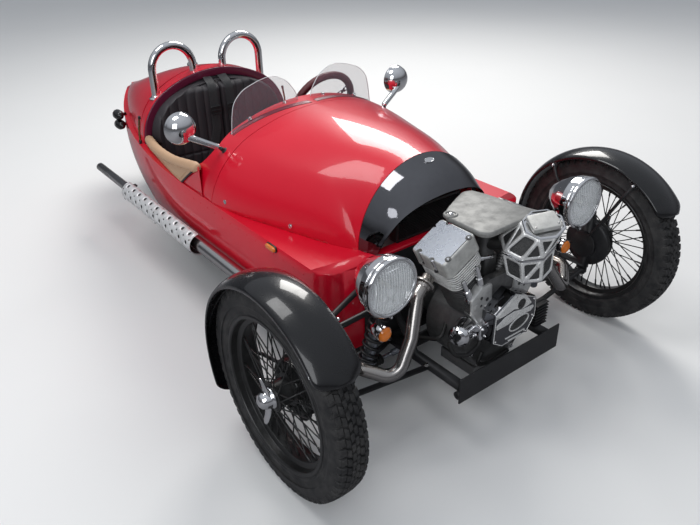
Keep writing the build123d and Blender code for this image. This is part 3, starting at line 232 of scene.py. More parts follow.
class Shape:
    """Surfaces gathered before they become one mesh."""

    def __init__(self) -> None:
        """Starts empty."""
        self.points: list[np.ndarray] = []
        self.faces: list[list] = []
        self.count = 0

    def surface(
        self,
        grid: np.ndarray,
        wrap: bool = False,
        loop: bool = False,
        caps: bool = False,
        away: Optional[Point] = None,
    ) -> "Shape":
        """Adds a grid of points as quads that face outwards.

        Args:
            grid: array of rows, columns and three coordinates.
            wrap: True where the last column joins the first.
            loop: True where the last row joins the first.
            caps: True to close the first and the last row.
            away: point that an open surface faces away from.

        Returns:
            This shape.
        """
        grid = np.asarray(grid, float)
        rows, columns = grid.shape[:2]
        index = np.arange(rows * columns).reshape(rows, columns)
        low = index if loop else index[:-1]
        high = np.roll(index, -1, 0) if loop else index[1:]
        if not wrap:
            quads = np.stack((low[:, :-1], high[:, :-1], high[:, 1:], low[:, 1:]), -1)
        else:
            quads = np.stack((low, high, np.roll(high, -1, 1), np.roll(low, -1, 1)), -1)
        quads = quads.reshape(-1, 4)
        points = grid.reshape(-1, 3)
        centre = points.mean(0) if away is None else np.asarray(away, float)
        corner = points[quads] - centre
        across = np.cross(corner[:, 2] - corner[:, 0], corner[:, 3] - corner[:, 1])
        outward = float((corner.mean(1) * across).sum())
        ends = [index[0][::-1], index[-1]] if caps else []
        if caps:
            for end in ends:
                rim = points[end] - centre
                normal = np.cross(rim, np.roll(rim, -1, 0)).sum(0)
                outward -= float(rim.mean(0) @ normal)
        flip = outward < 0
        faces = quads[:, ::-1] if flip else quads
        listed = (faces + self.count).tolist()
        for end in ends:
            face = end if flip else end[::-1]
            listed.append((face + self.count).tolist())
        self.points.append(points)
        self.faces.append(listed)
        self.count += len(points)
        return self

    def fan(self, rim: np.ndarray, centre: Point, away: Optional[Point] = None) -> "Shape":
        """Adds a closed rim joined to one point.

        Args:
            rim: points of the rim in order.
            centre: the point.
            away: point that the fan faces away from.

        Returns:
            This shape.
        """
        rim = np.asarray(rim, float)
        hub = np.broadcast_to(np.asarray(centre, float), rim.shape)
        return self.surface(np.stack((rim, hub)), wrap=True, away=away)

    def add(self, other: "Shape") -> "Shape":
        """Adds another shape's surfaces.

        Args:
            other: the shape whose surfaces are taken over.

        Returns:
            This shape, so that calls can follow one another.
        """
        shift = self.count
        for faces in other.faces:
            self.faces.append([[v + shift for v in face] for face in faces])
        self.points.extend(other.points)
        self.count += other.count
        return self

    def on(self, side: str) -> "Shape":
        """The shape on the left, or its mirror image on the right."""
        return self if side == "left" else self.mirrored()

    def mirrored(self) -> "Shape":
        """The same shape on the car's other side, its faces still outwards.

        Returns:
            The mirror image.
        """
        twin = Shape()
        twin.points = [points * (-1, 1, 1) for points in self.points]
        twin.faces = [[face[::-1] for face in faces] for faces in self.faces]
        twin.count = self.count
        return twin

    def both(self) -> "Shape":
        """This shape with its mirror image."""
        twin = self.mirrored()
        return self.add(twin)

    def stamp(self, part: "Shape", centres: Rows, axes: np.ndarray) -> "Shape":
        """Adds copies of a small part.

        Args:
            part: shape made round the origin, standing along +Z.
            centres: where the copies go.
            axes: for each copy, its three axes as rows.

        Returns:
            This shape.
        """
        centres = np.asarray(centres, float)
        axes = np.broadcast_to(axes, (len(centres), 3, 3))
        local = np.concatenate(part.points)
        moved = np.einsum("nk,ckj->cnj", local, axes) + centres[:, None]
        for copy in moved:
            for faces in part.faces:
                self.faces.append([[v + self.count for v in face] for face in faces])
            self.points.append(copy)
            self.count += len(local)
        return self


def lathe(
    profile: Rows, origin: Point, axis: Point, sides: int = 48, closed: bool = False
) -> Shape:
    """Surface of revolution.

    A profile row is (distance along the axis, radius). The point at angle a is the origin, plus
    the distance along the axis, plus the radius times (cos a, sin a) in the plane across it.

    Args:
        profile: rows in order, an open line that starts and ends on the axis, or a closed one.
        origin: where the axis starts.
        axis: its direction.
        sides: points round the axis.
        closed: True where the profile is a ring clear of the axis.

    Returns:
        The surface.
    """
    rows = np.asarray(profile, float)
    side, up, run = basis(axis)
    turn = np.arange(sides) * 2 * math.pi / sides
    ring = np.cos(turn)[:, None] * side + np.sin(turn)[:, None] * up
    grid = np.asarray(origin, float) + rows[:, :1, None] * run + rows[:, 1:2, None] * ring[None]
    return Shape().surface(grid, wrap=True, loop=closed)


def tube(
    path: Rows,
    radius: Union[float, np.ndarray],
    sides: int = 16,
    closed: bool = False,
    section: Optional[np.ndarray] = None,
    up: Optional[Point] = None,
) -> Shape:
    """A round bar, or any section, carried along a path.

    The section at each point stands across the path's direction there: its first axis is that
    direction crossed with a steady one, its second the direction crossed with the first.

    Args:
        path: points in order.
        radius: one radius, or one for each point.
        sides: points round the section.
        closed: True where the path is a ring.
        section: outline to carry instead of a circle.
        up: steady direction; chosen where none is given.

    Returns:
        The bar.
    """
    line = np.asarray(path, float)
    if closed:
        along = np.roll(line, -1, 0) - np.roll(line, 1, 0)
    else:
        along = np.gradient(line, axis=0)
    along = unit(along)
    if up is None:
        choices = unit(
            np.array(
                [
                    (x, y, z)
                    for x in (-1, 0, 1)
                    for y in (-1, 0, 1)
                    for z in (0, 1)
                    if (x, y, z) != (0, 0, 0)
                ],
                float
            )
        )
        steady = choices[np.abs(choices @ along.T).max(1).argmin()]
    else:
        steady = np.asarray(up, float)
    first = unit(np.cross(along, steady))
    second = np.cross(along, first)
    outline = circle(1.0, sides) if section is None else section
    size = np.broadcast_to(np.asarray(radius, float), (len(line),))[:, None, None]
    grid = line[:, None] + size * (
        outline[None, :, :1] * first[:, None] + outline[None, :, 1:] * second[:, None]
    )
    return Shape().surface(grid, wrap=True, loop=closed, caps=not closed)


def rod(start: Point, end: Point, radius: float, edge: float = 0.0) -> Shape:
    """Straight round bar with softened ends.

    Args:
        start: centre of one end.
        end: centre of the other.
        radius: radius of the bar.
        edge: chamfer at both ends, a fifth of the radius but no more than 1 where none is given.

    Returns:
        The bar.
    """
    start, end = np.asarray(start, float), np.asarray(end, float)
    length = float(np.linalg.norm(end - start))
    edge = edge or min(1.0, radius * 0.2)
    rows = (
        (0, 0), (0, radius - edge), (edge, radius), (length - edge, radius),
        (length, radius - edge), (length, 0)
    )
    return lathe(rows, start, end - start, 20)


def slab(
    outline: np.ndarray,
    levels: Rows,
    origin: Point,
    axis: Point,
    hint: Point = (0.0, 0.0, 1.0),
) -> Shape:
    """Plate or block: one outline repeated at several heights, moved in at each.

    Args:
        outline: closed outline in the plane across the axis.
        levels: rows of (height along the axis, distance moved in).
        origin: the outline's zero.
        axis: direction that the heights are measured in.
        hint: direction that the outline's second axis leans towards.

    Returns:
        The closed block.
    """
    side, up, run = basis(axis, hint)
    rings = np.stack([inward(outline, inset) for _, inset in levels])
    heights = np.array([height for height, _ in levels], float)[:, None, None]
    grid = np.asarray(origin, float) + rings[..., :1] * side + rings[..., 1:] * up + heights * run
    return Shape().surface(grid, wrap=True, caps=True)


def soft_slab(
    outline: np.ndarray, depth: float, edge: float, origin: Point, axis: Point,
    hint: Point = (0.0, 0.0, 1.0)
) -> Shape:
    """Block whose edges are rounded by the given radius.

    Args:
        outline: closed outline.
        depth: distance between the two faces.
        edge: radius of the edges' round.
        origin: place of the first face.
        axis: direction from the first face to the second.
        hint: direction that the outline's second axis leans towards.

    Returns:
        The block.
    """
    turn = np.linspace(0, math.pi / 2, 5)
    low = [(edge * (1 - math.sin(a)), edge * (1 - math.cos(a))) for a in turn[::-1]]
    high = [(depth - height, inset) for height, inset in reversed(low)]
    return slab(outline, low + high, origin, axis, hint)


def bolt(radius: float, height: float) -> Shape:
    """Hexagon head with a chamfer on a round washer, standing on the origin.

    Args:
        radius: from the middle to a corner of the head.
        height: height of head and washer.

    Returns:
        The bolt head.
    """
    head = ((0, radius), (height * 0.85, radius), (height, radius * 0.86), (height, 0))
    washer = (
        (0, radius * 1.35), (height * 0.18, radius * 1.35), (height * 0.22, radius * 1.25),
        (height * 0.22, 0)
    )
    return lathe(((0, 0),) + washer, (0, 0, 0), (0, 0, 1), 18).add(
        lathe(((0, 0),) + head, (0, 0, 0), (0, 0, 1), 6)
    )


def dome_nut(radius: float, height: float) -> Shape:
    """Acorn nut standing on the origin.

    Args:
        radius: from the middle to a corner.
        height: height of the dome's crown.

    Returns:
        The nut.
    """
    base = ((0, 0), (0, radius), (height * 0.45, radius), (height * 0.45, 0))
    turn = np.linspace(0, math.pi / 2, 6)
    dome = [
        (height * 0.45 + height * 0.55 * math.sin(a), radius * 0.82 * math.cos(a))
        for a in turn
    ]
    return lathe(base, (0, 0, 0), (0, 0, 1), 6).add(
        lathe([(height * 0.3, 0), (height * 0.3, radius * 0.82)] + dome, (0, 0, 0), (0, 0, 1), 16)
    )


def linked(name: str, data: bpy.types.ID) -> bpy.types.Object:
    """An object of the given data, linked to the scene.

    Args:
        name: name of the object.
        data: mesh, lamp or camera.

    Returns:
        The object.
    """
    made = bpy.data.objects.new(name, data)
    bpy.context.scene.collection.objects.link(made)
    return made


def make(
    name: str,
    shape: Shape,
    finish: "Finish",
    body: Body = Body.CHASSIS,
    hides: Sequence[str] = (),
    crease: float = 35.0,
    wall: float = 0.0,
) -> bpy.types.Object:
    """Turns a shape into a finished piece of the car.

    Args:
        name: name of the piece.
        shape: its surfaces, in millimetres.
        finish: its finish.
        body: the body that it rides on.
        hides: CAD nodes that it stands for.
        crease: edges that turn by more than this many degrees stay sharp.
        wall: thickness given to an open surface, inwards.

    Returns:
        The piece.
    """
    mesh = bpy.data.meshes.new(name)
    points = np.concatenate(shape.points) * MM
    faces = [face for group in shape.faces for face in group]
    mesh.from_pydata(points.tolist(), [], faces)
    work = bmesh.new()
    work.from_mesh(mesh)
    bmesh.ops.remove_doubles(work, verts=work.verts, dist=2e-6)
    bmesh.ops.dissolve_degenerate(work, edges=work.edges, dist=1e-7)
    work.to_mesh(mesh)
    work.free()
    mesh.polygons.foreach_set("use_smooth", np.ones(len(mesh.polygons), bool))
    if crease < 180:
        mesh.set_sharp_from_angle(angle=math.radians(crease))
    piece = linked(name, mesh)
    mesh.materials.append(finish.material())
    if wall:
        solid = piece.modifiers.new("Wall", "SOLIDIFY")
        solid.thickness = wall * MM
        solid.offset = -1.0
        solid.use_even_offset = True
    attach(piece, body.value)
    if hides:
        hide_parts(*hides)
    LOG.info("%s: %d faces on %s", name, len(mesh.polygons), body.value)
    return piece


def dress(node: str, finish: "Finish", bevel: float = 0.0) -> bpy.types.Object:
    """Merged copy of a CAD node with smooth normals, standing for that node.

    Args:
        node: name of the node.
        finish: its finish.
        bevel: width of the round on its sharp edges.

    Returns:
        The piece.
    """
    source = frame["nodes"][node]
    work = bmesh.new()
    work.from_mesh(source.data)
    bmesh.ops.remove_doubles(work, verts=work.verts, dist=1e-6)
    mesh = bpy.data.meshes.new(node + "_finished")
    work.to_mesh(mesh)
    work.free()
    mesh.polygons.foreach_set("use_smooth", np.ones(len(mesh.polygons), bool))
    mesh.set_sharp_from_angle(angle=math.radians(NODE_CREASE))
    piece = linked(mesh.name, mesh)
    mesh.materials.append(finish.material())
    if bevel:
        soft = piece.modifiers.new("Edge", "BEVEL")
        soft.width = bevel * MM
        soft.segments = 2
        soft.limit_method = "ANGLE"
        soft.angle_limit = math.radians(40)
    body = body_of(source)[0]
    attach(piece, body)
    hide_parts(node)
    LOG.info("%s: %d faces on %s", mesh.name, len(mesh.polygons), body)
    return piece


class Sock:
    """A shader value that adds Math nodes as it is used in an expression."""

    def __init__(self, tree: bpy.types.NodeTree, link: bpy.types.NodeSocket) -> None:
        """Wraps an output socket of a tree."""
        self.tree = tree
        self.link = link

    def math(self, operation: str, *values: Union["Sock", float]) -> "Sock":
        """A Math node over values or sockets.

        Args:
            operation: the Math node's operation.
            values: numbers or sockets, in the order of the node's inputs.

        Returns:
            The node's result.
        """
        node = self.tree.nodes.new("ShaderNodeMath")
        node.operation = operation
        for socket, value in zip(node.inputs, values):
            if isinstance(value, Sock):
                self.tree.links.new(value.link, socket)
            else:
                socket.default_value = value
        return Sock(self.tree, node.outputs[0])

    def __add__(self, other: Union["Sock", float]) -> "Sock":
        """Sum."""
        return self.math("ADD", self, other)

    def __radd__(self, other: float) -> "Sock":
        """Sum with a number first."""
        return self.math("ADD", other, self)

    def __sub__(self, other: Union["Sock", float]) -> "Sock":
        """Difference."""
        return self.math("SUBTRACT", self, other)

    def __rsub__(self, other: float) -> "Sock":
        """Difference from a number."""
        return self.math("SUBTRACT", other, self)

    def __mul__(self, other: Union["Sock", float]) -> "Sock":
        """Product."""
        return self.math("MULTIPLY", self, other)

    def __rmul__(self, other: float) -> "Sock":
        """Product with a number first."""
        return self.math("MULTIPLY", other, self)

    def __gt__(self, other: Union["Sock", float]) -> "Sock":
        """One where this is the greater."""
        return self.math("GREATER_THAN", self, other)

    def clamp(self, low: float = 0.0, high: float = 1.0) -> "Sock":
        """Value kept between two limits."""
        return self.math("MAXIMUM", self.math("MINIMUM", self, high), low)

    def ramp(self, low: float, high: float) -> "Sock":
        """Zero below low, one above high, straight between."""
        return ((self - low) * (1 / (high - low))).clamp()


Value = Union[Sock, float, Sequence[float]]


class Look:
    """One material under construction: its tree and its Principled shader."""

    def __init__(self, name: str) -> None:
        """Makes an empty material of that name.

        Args:
            name: name of the material.
        """
        self.made = bpy.data.materials.new(name)
        self.made.use_nodes = True
        self.tree = self.made.node_tree
        self.shader = self.tree.nodes["Principled BSDF"]

    def node(
        self, kind: str, settings: Optional[dict] = None, output: Union[int, str] = 0,
        **sockets: Value
    ) -> Sock:
        """Adds a node.

        Args:
            kind: node type after ShaderNode.
            settings: attributes to set first; stops is a ramp's list of (place, colour).
            output: number or name of the output wanted.
            **sockets: values or links by socket name, with _ for a space.

        Returns:
            The output.
        """
        made = self.tree.nodes.new("ShaderNode" + kind)
        for key, value in (settings or {}).items():
            if key == "stops":
                for at, colour in value[len(made.color_ramp.elements):]:
                    made.color_ramp.elements.new(at)
                for element, (at, colour) in zip(made.color_ramp.elements, value):
                    element.position = at
                    element.color = (*colour, 1.0)
            else:
                setattr(made, key, value)
        for key, value in sockets.items():
            self.set(made.inputs[key.replace("_", " ")], value)
        return Sock(self.tree, made.outputs[output])

    def set(self, socket: bpy.types.NodeSocket, value: Value) -> None:
        """Links or sets one input.

        Args:
            socket: the input.
            value: a link, a number, a colour or a vector.
        """
        if isinstance(value, Sock):
            self.tree.links.new(value.link, socket)
        elif isinstance(value, (int, float)):
            socket.default_value = value
        else:
            whole = len(value) == 3 and socket.type == "RGBA"
            socket.default_value = (*value, 1.0) if whole else value

    def surface(self, **sockets: Value) -> None:
        """Sets inputs of the Principled shader."""
        for key, value in sockets.items():
            self.set(self.shader.inputs[key.replace("_", " ")], value)

    def where(self) -> Sock:
        """Object coordinates."""
        return self.node("TexCoord", output="Object")

    def part(self, vector: Sock, axis: str) -> Sock:
        """One coordinate of a vector."""
        return self.node("SeparateXYZ", output=axis, Vector=vector)

    def noise(
        self, scale: float, detail: float = 3.0, rough: float = 0.55, vector: Optional[Sock] = None
    ) -> Sock:
        """Noise over object coordinates, scale in waves per metre."""
        return self.node(
            "TexNoise", Vector=vector or self.where(), Scale=scale, Detail=detail, Roughness=rough
        )

    def mix(self, factor: Value, first: Value, second: Value) -> Sock:
        """Colour between two colours.

        Args:
            factor: share of the second colour.
            first: colour at 0.
            second: colour at 1.

        Returns:
            The mixed colour.
        """
        made = self.tree.nodes.new("ShaderNodeMix")
        made.data_type = "RGBA"
        for index, value in ((0, factor), (6, first), (7, second)):
            self.set(made.inputs[index], value)
        return Sock(self.tree, made.outputs[2])

    def bump(self, height: Sock, strength: float, distance: float) -> None:
        """Feeds the shader's normal from a height.

        Args:
            height: value from 0 to 1.
            strength: share of the effect.
            distance: height of one, in metres.
        """
        self.surface(Normal=self.node("Bump", Strength=strength, Distance=distance, Height=height))


@dataclass(frozen=True)
class Finish:
    """A finish: its name, colour and gloss, and the slot that it belongs to."""

    name: str
    color: tuple[float, float, float]
    roughness: float = 0.4
    slot: str = field(default="", kw_only=True)

    def material(self) -> bpy.types.Material:
        """The material, made on first use.

        Returns:
            The material.
        """
        known = bpy.data.materials.get(self.name)
        if known:
            return known
        look = Look(self.name)
        self.paint(look)
        return look.made

    def paint(self, look: Look) -> None:
        """Fills the material's nodes.

        Args:
            look: the material's nodes.
        """
        look.surface(Base_Color=self.color, Roughness=self.roughness)


@dataclass(frozen=True)
class GlossPaint(Finish):
    """Sprayed paint under clear lacquer, with a little dust and orange peel."""

    peel: float = 0.25

    def paint(self, look: Look) -> None:
        """Colour shifts slightly with large soft noise; dust raises the roughness in patches.

        Args:
            look: the material's nodes.
        """
        soft = look.noise(2.2, 2.0)
        deep = tuple(c * 0.86 for c in self.color)
        dust = look.noise(26.0, 5.0, 0.7).ramp(0.5, 0.85)
        look.surface(
            Base_Color=look.mix(soft, deep, self.color),
            Roughness=self.roughness + dust * 0.12,
            Specular_IOR_Level=0.25,
            Coat_Weight=0.85 - dust * 0.15,
            Coat_Roughness=0.04,
            Coat_IOR=1.4,
        )
        look.bump(look.noise(420.0, 1.0), self.peel, 0.00002)


@dataclass(frozen=True)
class SatinPaint(Finish):
    """Powder coat: fine grain, rubbed paler in places."""

    def paint(self, look: Look) -> None:
        """Fine noise makes the grain; coarse noise dulls patches.

        Args:
            look: the material's nodes.
        """
        worn = look.noise(18.0, 6.0, 0.65).ramp(0.52, 0.8)
        pale = tuple(c * 1.7 + 0.01 for c in self.color)
        look.surface(
            Base_Color=look.mix(worn, self.color, pale), Roughness=self.roughness + worn * 0.2
        )
        look.bump(look.noise(1600.0, 2.0), 0.35, 0.00006)


@dataclass(frozen=True)
class Polished(Finish):
    """Mirror polished or plated metal with faint smears."""

    smear: float = 0.08

    def paint(self, look: Look) -> None:
        """Smears are stretched noise that lifts the roughness.

        Args:
            look: the material's nodes.
        """
        smears = look.noise(38.0, 5.0, 0.7).ramp(0.45, 0.8)
        fine = look.noise(300.0, 3.0)
        look.surface(
            Base_Color=look.mix(smears * 0.5, self.color, tuple(c * 0.82 for c in self.color)),
            Metallic=1.0,
            Roughness=self.roughness + smears * self.smear,
        )
        look.bump(fine, 0.12, 0.00002)


@dataclass(frozen=True)
class CastAlloy(Finish):
    """Sand cast or bead blasted alloy with oily shadows in its grain."""

    grain: float = 0.5
    metal: float = 1.0

    def paint(self, look: Look) -> None:
        """Two scales of noise for grain, a third for stains.

        Args:
            look: the material's nodes.
        """
        stain = look.noise(30.0, 6.0, 0.7).ramp(0.42, 0.78)
        look.surface(
            Base_Color=look.mix(stain, self.color, tuple(c * 0.62 for c in self.color)),
            Metallic=self.metal,
            Roughness=self.roughness + stain * 0.16,
        )
        look.bump(look.noise(900.0, 3.0) + look.noise(260.0, 2.0) * 0.6, self.grain, 0.00012)


@dataclass(frozen=True)
class HotSteel(Finish):
    """Stainless pipe that heat has tinted near the engine."""

    def paint(self, look: Look) -> None:
        """The tint follows the place along the car: grey, brown at the sleeve, then plain steel.

        Args:
            look: the material's nodes.
        """
        where = look.where()
        along = look.part(where, "Y").ramp(-1.42, -1.12)
        cloud = look.noise(40.0, 4.0)
        tint = look.node(
            "ValToRGB",
            {
                "stops": [
                    (0.0, (0.34, 0.33, 0.33)), (0.35, (0.46, 0.43, 0.4)), (0.65, (0.4, 0.33, 0.27)),
                    (1.0, self.color)
                ]
            },
            Fac=(along + cloud * 0.2 - 0.1).clamp(),
        )
        smear = look.noise(70.0, 5.0, 0.7)
        look.surface(Base_Color=tint, Metallic=1.0, Roughness=self.roughness + smear * 0.14)
        look.bump(look.noise(500.0, 2.0), 0.15, 0.00003)


@dataclass(frozen=True)
class Rubber(Finish):
    """Moulded rubber, dusty where it is rough."""

    dust: float = 0.5

    def paint(self, look: Look) -> None:
        """Dust is coarse noise mixed in as a pale grey brown.

        Args:
            look: the material's nodes.
        """
        dusty = look.noise(22.0, 6.0, 0.7).ramp(0.4, 0.8) * self.dust
        look.surface(
            Base_Color=look.mix(dusty, self.color, (0.11, 0.105, 0.1)),
            Roughness=self.roughness + dusty * 0.15,
            Specular_IOR_Level=0.4,
        )
        look.bump(look.noise(700.0, 3.0), 0.3, 0.0001)


@dataclass(frozen=True)
class Hide(Finish):
    """Leather: pebble grain from cells, soft creases, worn gloss."""

    grain: float = 420.0

    def paint(self, look: Look) -> None:
        """Cell borders are the grain's valleys; coarse noise varies the dye.

        Args:
            look: the material's nodes.
        """
        where = look.where()
        cells = look.node(
            "TexVoronoi", {"feature": "DISTANCE_TO_EDGE"}, Vector=where, Scale=self.grain
        )
        pebble = cells.ramp(0.0, 0.28)
        crease = look.noise(60.0, 5.0, 0.6)
        dye = look.noise(9.0, 3.0)
        deep = tuple(c * 0.66 for c in self.color)
        look.surface(
            Base_Color=look.mix((dye * 0.7 + pebble * 0.3).clamp(), deep, self.color),
            Roughness=self.roughness + crease * 0.14,
            Coat_Weight=0.12,
            Coat_Roughness=0.35,
        )
        look.bump(pebble * 0.7 + crease * 0.6, 0.5, 0.0005)


@dataclass(frozen=True)
class Webbing(Finish):
    """Woven strap: ribs across and along."""

    def paint(self, look: Look) -> None:
        """Two wave patterns, one up the strap and one across it, make the weave.

        Args:
            look: the material's nodes.
        """
        where = look.where()
        rows = look.node(
            "TexWave", {"bands_direction": "Z"}, Vector=where, Scale=190.0, Distortion=0.2
        )
        columns = look.node(
            "TexWave", {"bands_direction": "X"}, Vector=where, Scale=260.0, Distortion=0.2
        )
        weave = rows * 0.6 + columns * 0.4
        look.surface(
            Base_Color=look.mix(
                weave, tuple(c * 0.5 for c in self.color), tuple(c * 1.5 for c in self.color)
            ),
            Roughness=self.roughness,
            Sheen_Weight=0.3,
        )
        look.bump(weave, 0.6, 0.0004)


@dataclass(frozen=True)
class Clear(Finish):
    """Clear or tinted moulding seen through, brighter at a glancing angle."""

    alpha: float = 0.2
    ripple: float = 0.0

    def paint(self, look: Look) -> None:
        """Alpha rises with the facing angle; ripples are the moulded flutes.

        Args:
            look: the material's nodes.
        """
        facing = look.node("LayerWeight", output="Facing", Blend=0.35)
        look.surface(
            Base_Color=self.color,
            Roughness=self.roughness,
            Coat_Weight=1.0,
            Coat_Roughness=0.02,
            Alpha=(self.alpha + facing * (1 - self.alpha) * 0.6).clamp(),
        )
        look.made.surface_render_method = "BLENDED"
        height = look.noise(300.0, 1.0)
        if self.ripple:
            height = look.node("TexWave", {"bands_direction": "X"}, Vector=look.where(), Scale=28.0)
        look.bump(height, 0.3 if self.ripple else 0.05, 0.0004 if self.ripple else 0.00002)


@dataclass(frozen=True)
class Mesh(Finish):
    """Dark woven wire or foam behind a cage."""

    pitch: float = 330.0

    def paint(self, look: Look) -> None:
        """Crossed waves make the wires; the gaps are nearly black.

        Args:
            look: the material's nodes.
        """
        where = look.where()
        one = look.node("TexWave", {"bands_direction": "DIAGONAL"}, Vector=where, Scale=self.pitch)
        two = look.node("TexWave", {"bands_direction": "Z"}, Vector=where, Scale=self.pitch)
        wire = one.math("MAXIMUM", one, two).ramp(0.55, 0.9)
        look.surface(
            Base_Color=look.mix(wire, (0.006, 0.006, 0.006), self.color),
            Metallic=0.6,
            Roughness=self.roughness,
        )
        look.bump(wire, 0.8, 0.0006)


@dataclass(frozen=True)
class Studio(Finish):
    """Pale floor that meets a pale background."""

    def paint(self, look: Look) -> None:
        """Very fine grain and faint clouding; mirrored in the car it is a mid grey.

        Args:
            look: the material's nodes.
        """
        cloud = look.noise(0.8, 3.0)
        pale = look.mix(cloud, self.color, tuple(c * 0.95 for c in self.color))
        mirrored = look.node("LightPath", output="Is Glossy Ray")
        look.surface(
            Base_Color=look.mix(mirrored, pale, (0.24, 0.24, 0.25)),
            Roughness=self.roughness,
            Specular_IOR_Level=0.2,
        )
        look.bump(look.noise(160.0, 3.0), 0.2, 0.0004)


RED = GlossPaint("red_body_paint", (0.7, 0.004, 0.024), 0.32, slot="body_paint")
RED_DARK = GlossPaint("dark_red_paint", (0.2, 0.006, 0.03), 0.35, slot="rim_paint")
# The body's red darkened for the cockpit's rear rim: painted shade on the rim's face turned from
# the light.
RIM_RED_SHADE = GlossPaint("rim_red_painted_shade", (0.12, 0.01, 0.035), 0.4, slot="rim_paint")
BLACK = GlossPaint("gloss_black_paint", (0.007, 0.007, 0.008), 0.25, 0.15, slot="black_gloss")
SATIN = SatinPaint("satin_black_coat", (0.014, 0.014, 0.015), 0.42, slot="black_satin")
WHEEL_BLACK = SatinPaint("wheel_black_coat", (0.012, 0.012, 0.012), 0.3, slot="black_gloss")
CHROME = Polished("chrome_plate", (0.78, 0.78, 0.79), 0.05, slot="polished")
# Dark polished metal. On the nose cowl its dark base colour is painted reflection of dark
# surroundings in bright chrome; on the gearcase shell it is that cover's own dark finish.
DARK_CHROME_AND_REFLECTION = Polished("dark_chrome_and_painted_reflection", (0.16, 0.16, 0.17), 0.05, 0.05, slot="polished")
STEEL = Polished("bright_steel", (0.58, 0.57, 0.56), 0.16, 0.12, slot="polished")
ALLOY = CastAlloy("cast_alloy", (0.6, 0.6, 0.59), 0.3, 0.35, 0.6, slot="engine_alloy")
DARK_ALLOY = CastAlloy("dark_cast_alloy", (0.16, 0.16, 0.16), 0.38, 0.5, 0.7, slot="engine_alloy")
SATIN_ALLOY = CastAlloy("brushed_alloy", (0.36, 0.38, 0.42), 0.26, 0.04, slot="bare_alloy")
FIELD = CastAlloy("bright_casting", (0.75, 0.75, 0.74), 0.22, 0.2, 0.45, slot="polished")
PLATE = CastAlloy("mottled_casting", (0.25, 0.25, 0.24), 0.5, 0.6, 0.3, slot="bare_alloy")
SHEET = CastAlloy("bare_sheet", (0.85, 0.85, 0.85), 0.4, 0.1, 0.4, slot="bare_alloy")
CAST = CastAlloy("bare_casting", (0.5, 0.5, 0.48), 0.42, 0.5, 0.35, slot="engine_alloy")
FIN = CastAlloy("fin_edges", (0.95, 0.95, 0.93), 0.3, 0.1, 0.3, slot="engine_alloy")
PIPE = HotSteel("heated_steel", (0.5, 0.49, 0.47), 0.18, slot="exhaust_steel")
TYRE = Rubber("tyre_rubber", (0.014, 0.014, 0.015), 0.55, 0.45, slot="tyre")
HOSE = Rubber("black_rubber", (0.012, 0.012, 0.012), 0.5, 0.12, slot="black_satin")
BLACK_HIDE = Hide("black_leather", (0.02, 0.018, 0.02), 0.36, slot="black_leather")
TAN_HIDE = Hide("tan_leather", (0.5, 0.27, 0.13), 0.42, slot="tan_leather")
BRASS = Polished("aged_brass", (0.32, 0.2, 0.09), 0.25, slot="polished")
RED_HIDE = Hide("dark_red_leather", (0.12, 0.008, 0.014), 0.34, slot="red_leather")
STRAP = Webbing("black_webbing", (0.016, 0.016, 0.018), 0.6, slot="webbing")
CLEAR = Clear("clear_screen", (0.35, 0.36, 0.4), 0.04, 0.12, slot="clear_glass")
CLEAR_EDGE = Clear("screen_edge", (0.8, 0.83, 0.84), 0.12, 0.6, slot="clear_glass")
LENS = Clear("fluted_lens", (0.9, 0.92, 0.93), 0.03, 0.1, 1.0, slot="clear_glass")
AMBER = Clear("amber_lens", (0.85, 0.22, 0.02), 0.12, 0.88, 1.0, slot="amber_glass")
RED_LENS = Clear("red_lens", (0.45, 0.01, 0.01), 0.12, 0.9, 1.0, slot="amber_glass")
MIRROR = Polished("mirror_glass", (0.85, 0.86, 0.87), 0.01, 0.01, slot="polished")
DIAL = SatinPaint("dial_face", (0.02, 0.02, 0.022), 0.4, slot="black_satin")
WHITE = SatinPaint("white_marks", (0.75, 0.75, 0.72), 0.5, slot="black_satin")
# Dark woven gauze, also used as painted shade: dark discs in the rocker covers' notches and the
# crankcase's holes.
GAUZE_AND_SHADE = Mesh("gauze_and_painted_shade", (0.12, 0.12, 0.12), 0.45, slot="black_satin")
FLOOR = Studio("studio_floor", (0.78, 0.78, 0.77), 0.6)


def arch_points(
    station: Union[float, np.ndarray], half: np.ndarray, top: np.ndarray, turn: np.ndarray,
    foot: float = LEDGE_Z, inset: float = 0.0
) -> np.ndarray:
    """Points of a panel's cross section, a three centred arch.

    Two side arcs with 0.87 of the rise for radius stand on the foot line, and a crown arc that is
    tangent to both joins them. The parameter runs from -1 at the right foot to 1 at the left one,
    with 0.5 of it at each joint.

    Args:
        station: place along the car of each point.
        half: half width at the foot.
        top: height of the crown.
        turn: parameter of each point.
        foot: height of the foot.
        inset: distance moved inside the outer surface.

    Returns:
        Points, with the last axis for the coordinates.
    """
    rise = top - foot
    side = 0.87 * rise
    centre = half - side
    crown = (centre**2 + rise**2 - side**2) / (2 * (rise - side))
    lean = np.arctan2(crown - rise, centre)
    low = np.clip(np.abs(turn) - 0.5, 0, 0.5) * 2
    side_angle = lean * (1 - low)
    x_side = centre + (side - inset) * np.cos(side_angle)
    z_side = foot + (side - inset) * np.sin(side_angle)
    crown_angle = (math.pi / 2 - lean) * np.abs(turn) * 2
    x_crown = (crown - inset) * np.sin(crown_angle)
    z_crown = foot + rise - crown + (crown - inset) * np.cos(crown_angle)
    on_side = np.abs(turn) >= 0.5
    x = np.sign(turn) * np.where(on_side, x_side, x_crown)
    z = np.where(on_side, z_side, z_crown)
    y = np.broadcast_to(place(0) + np.asarray(station, float), x.shape)
    return np.stack((x, y, z), -1)


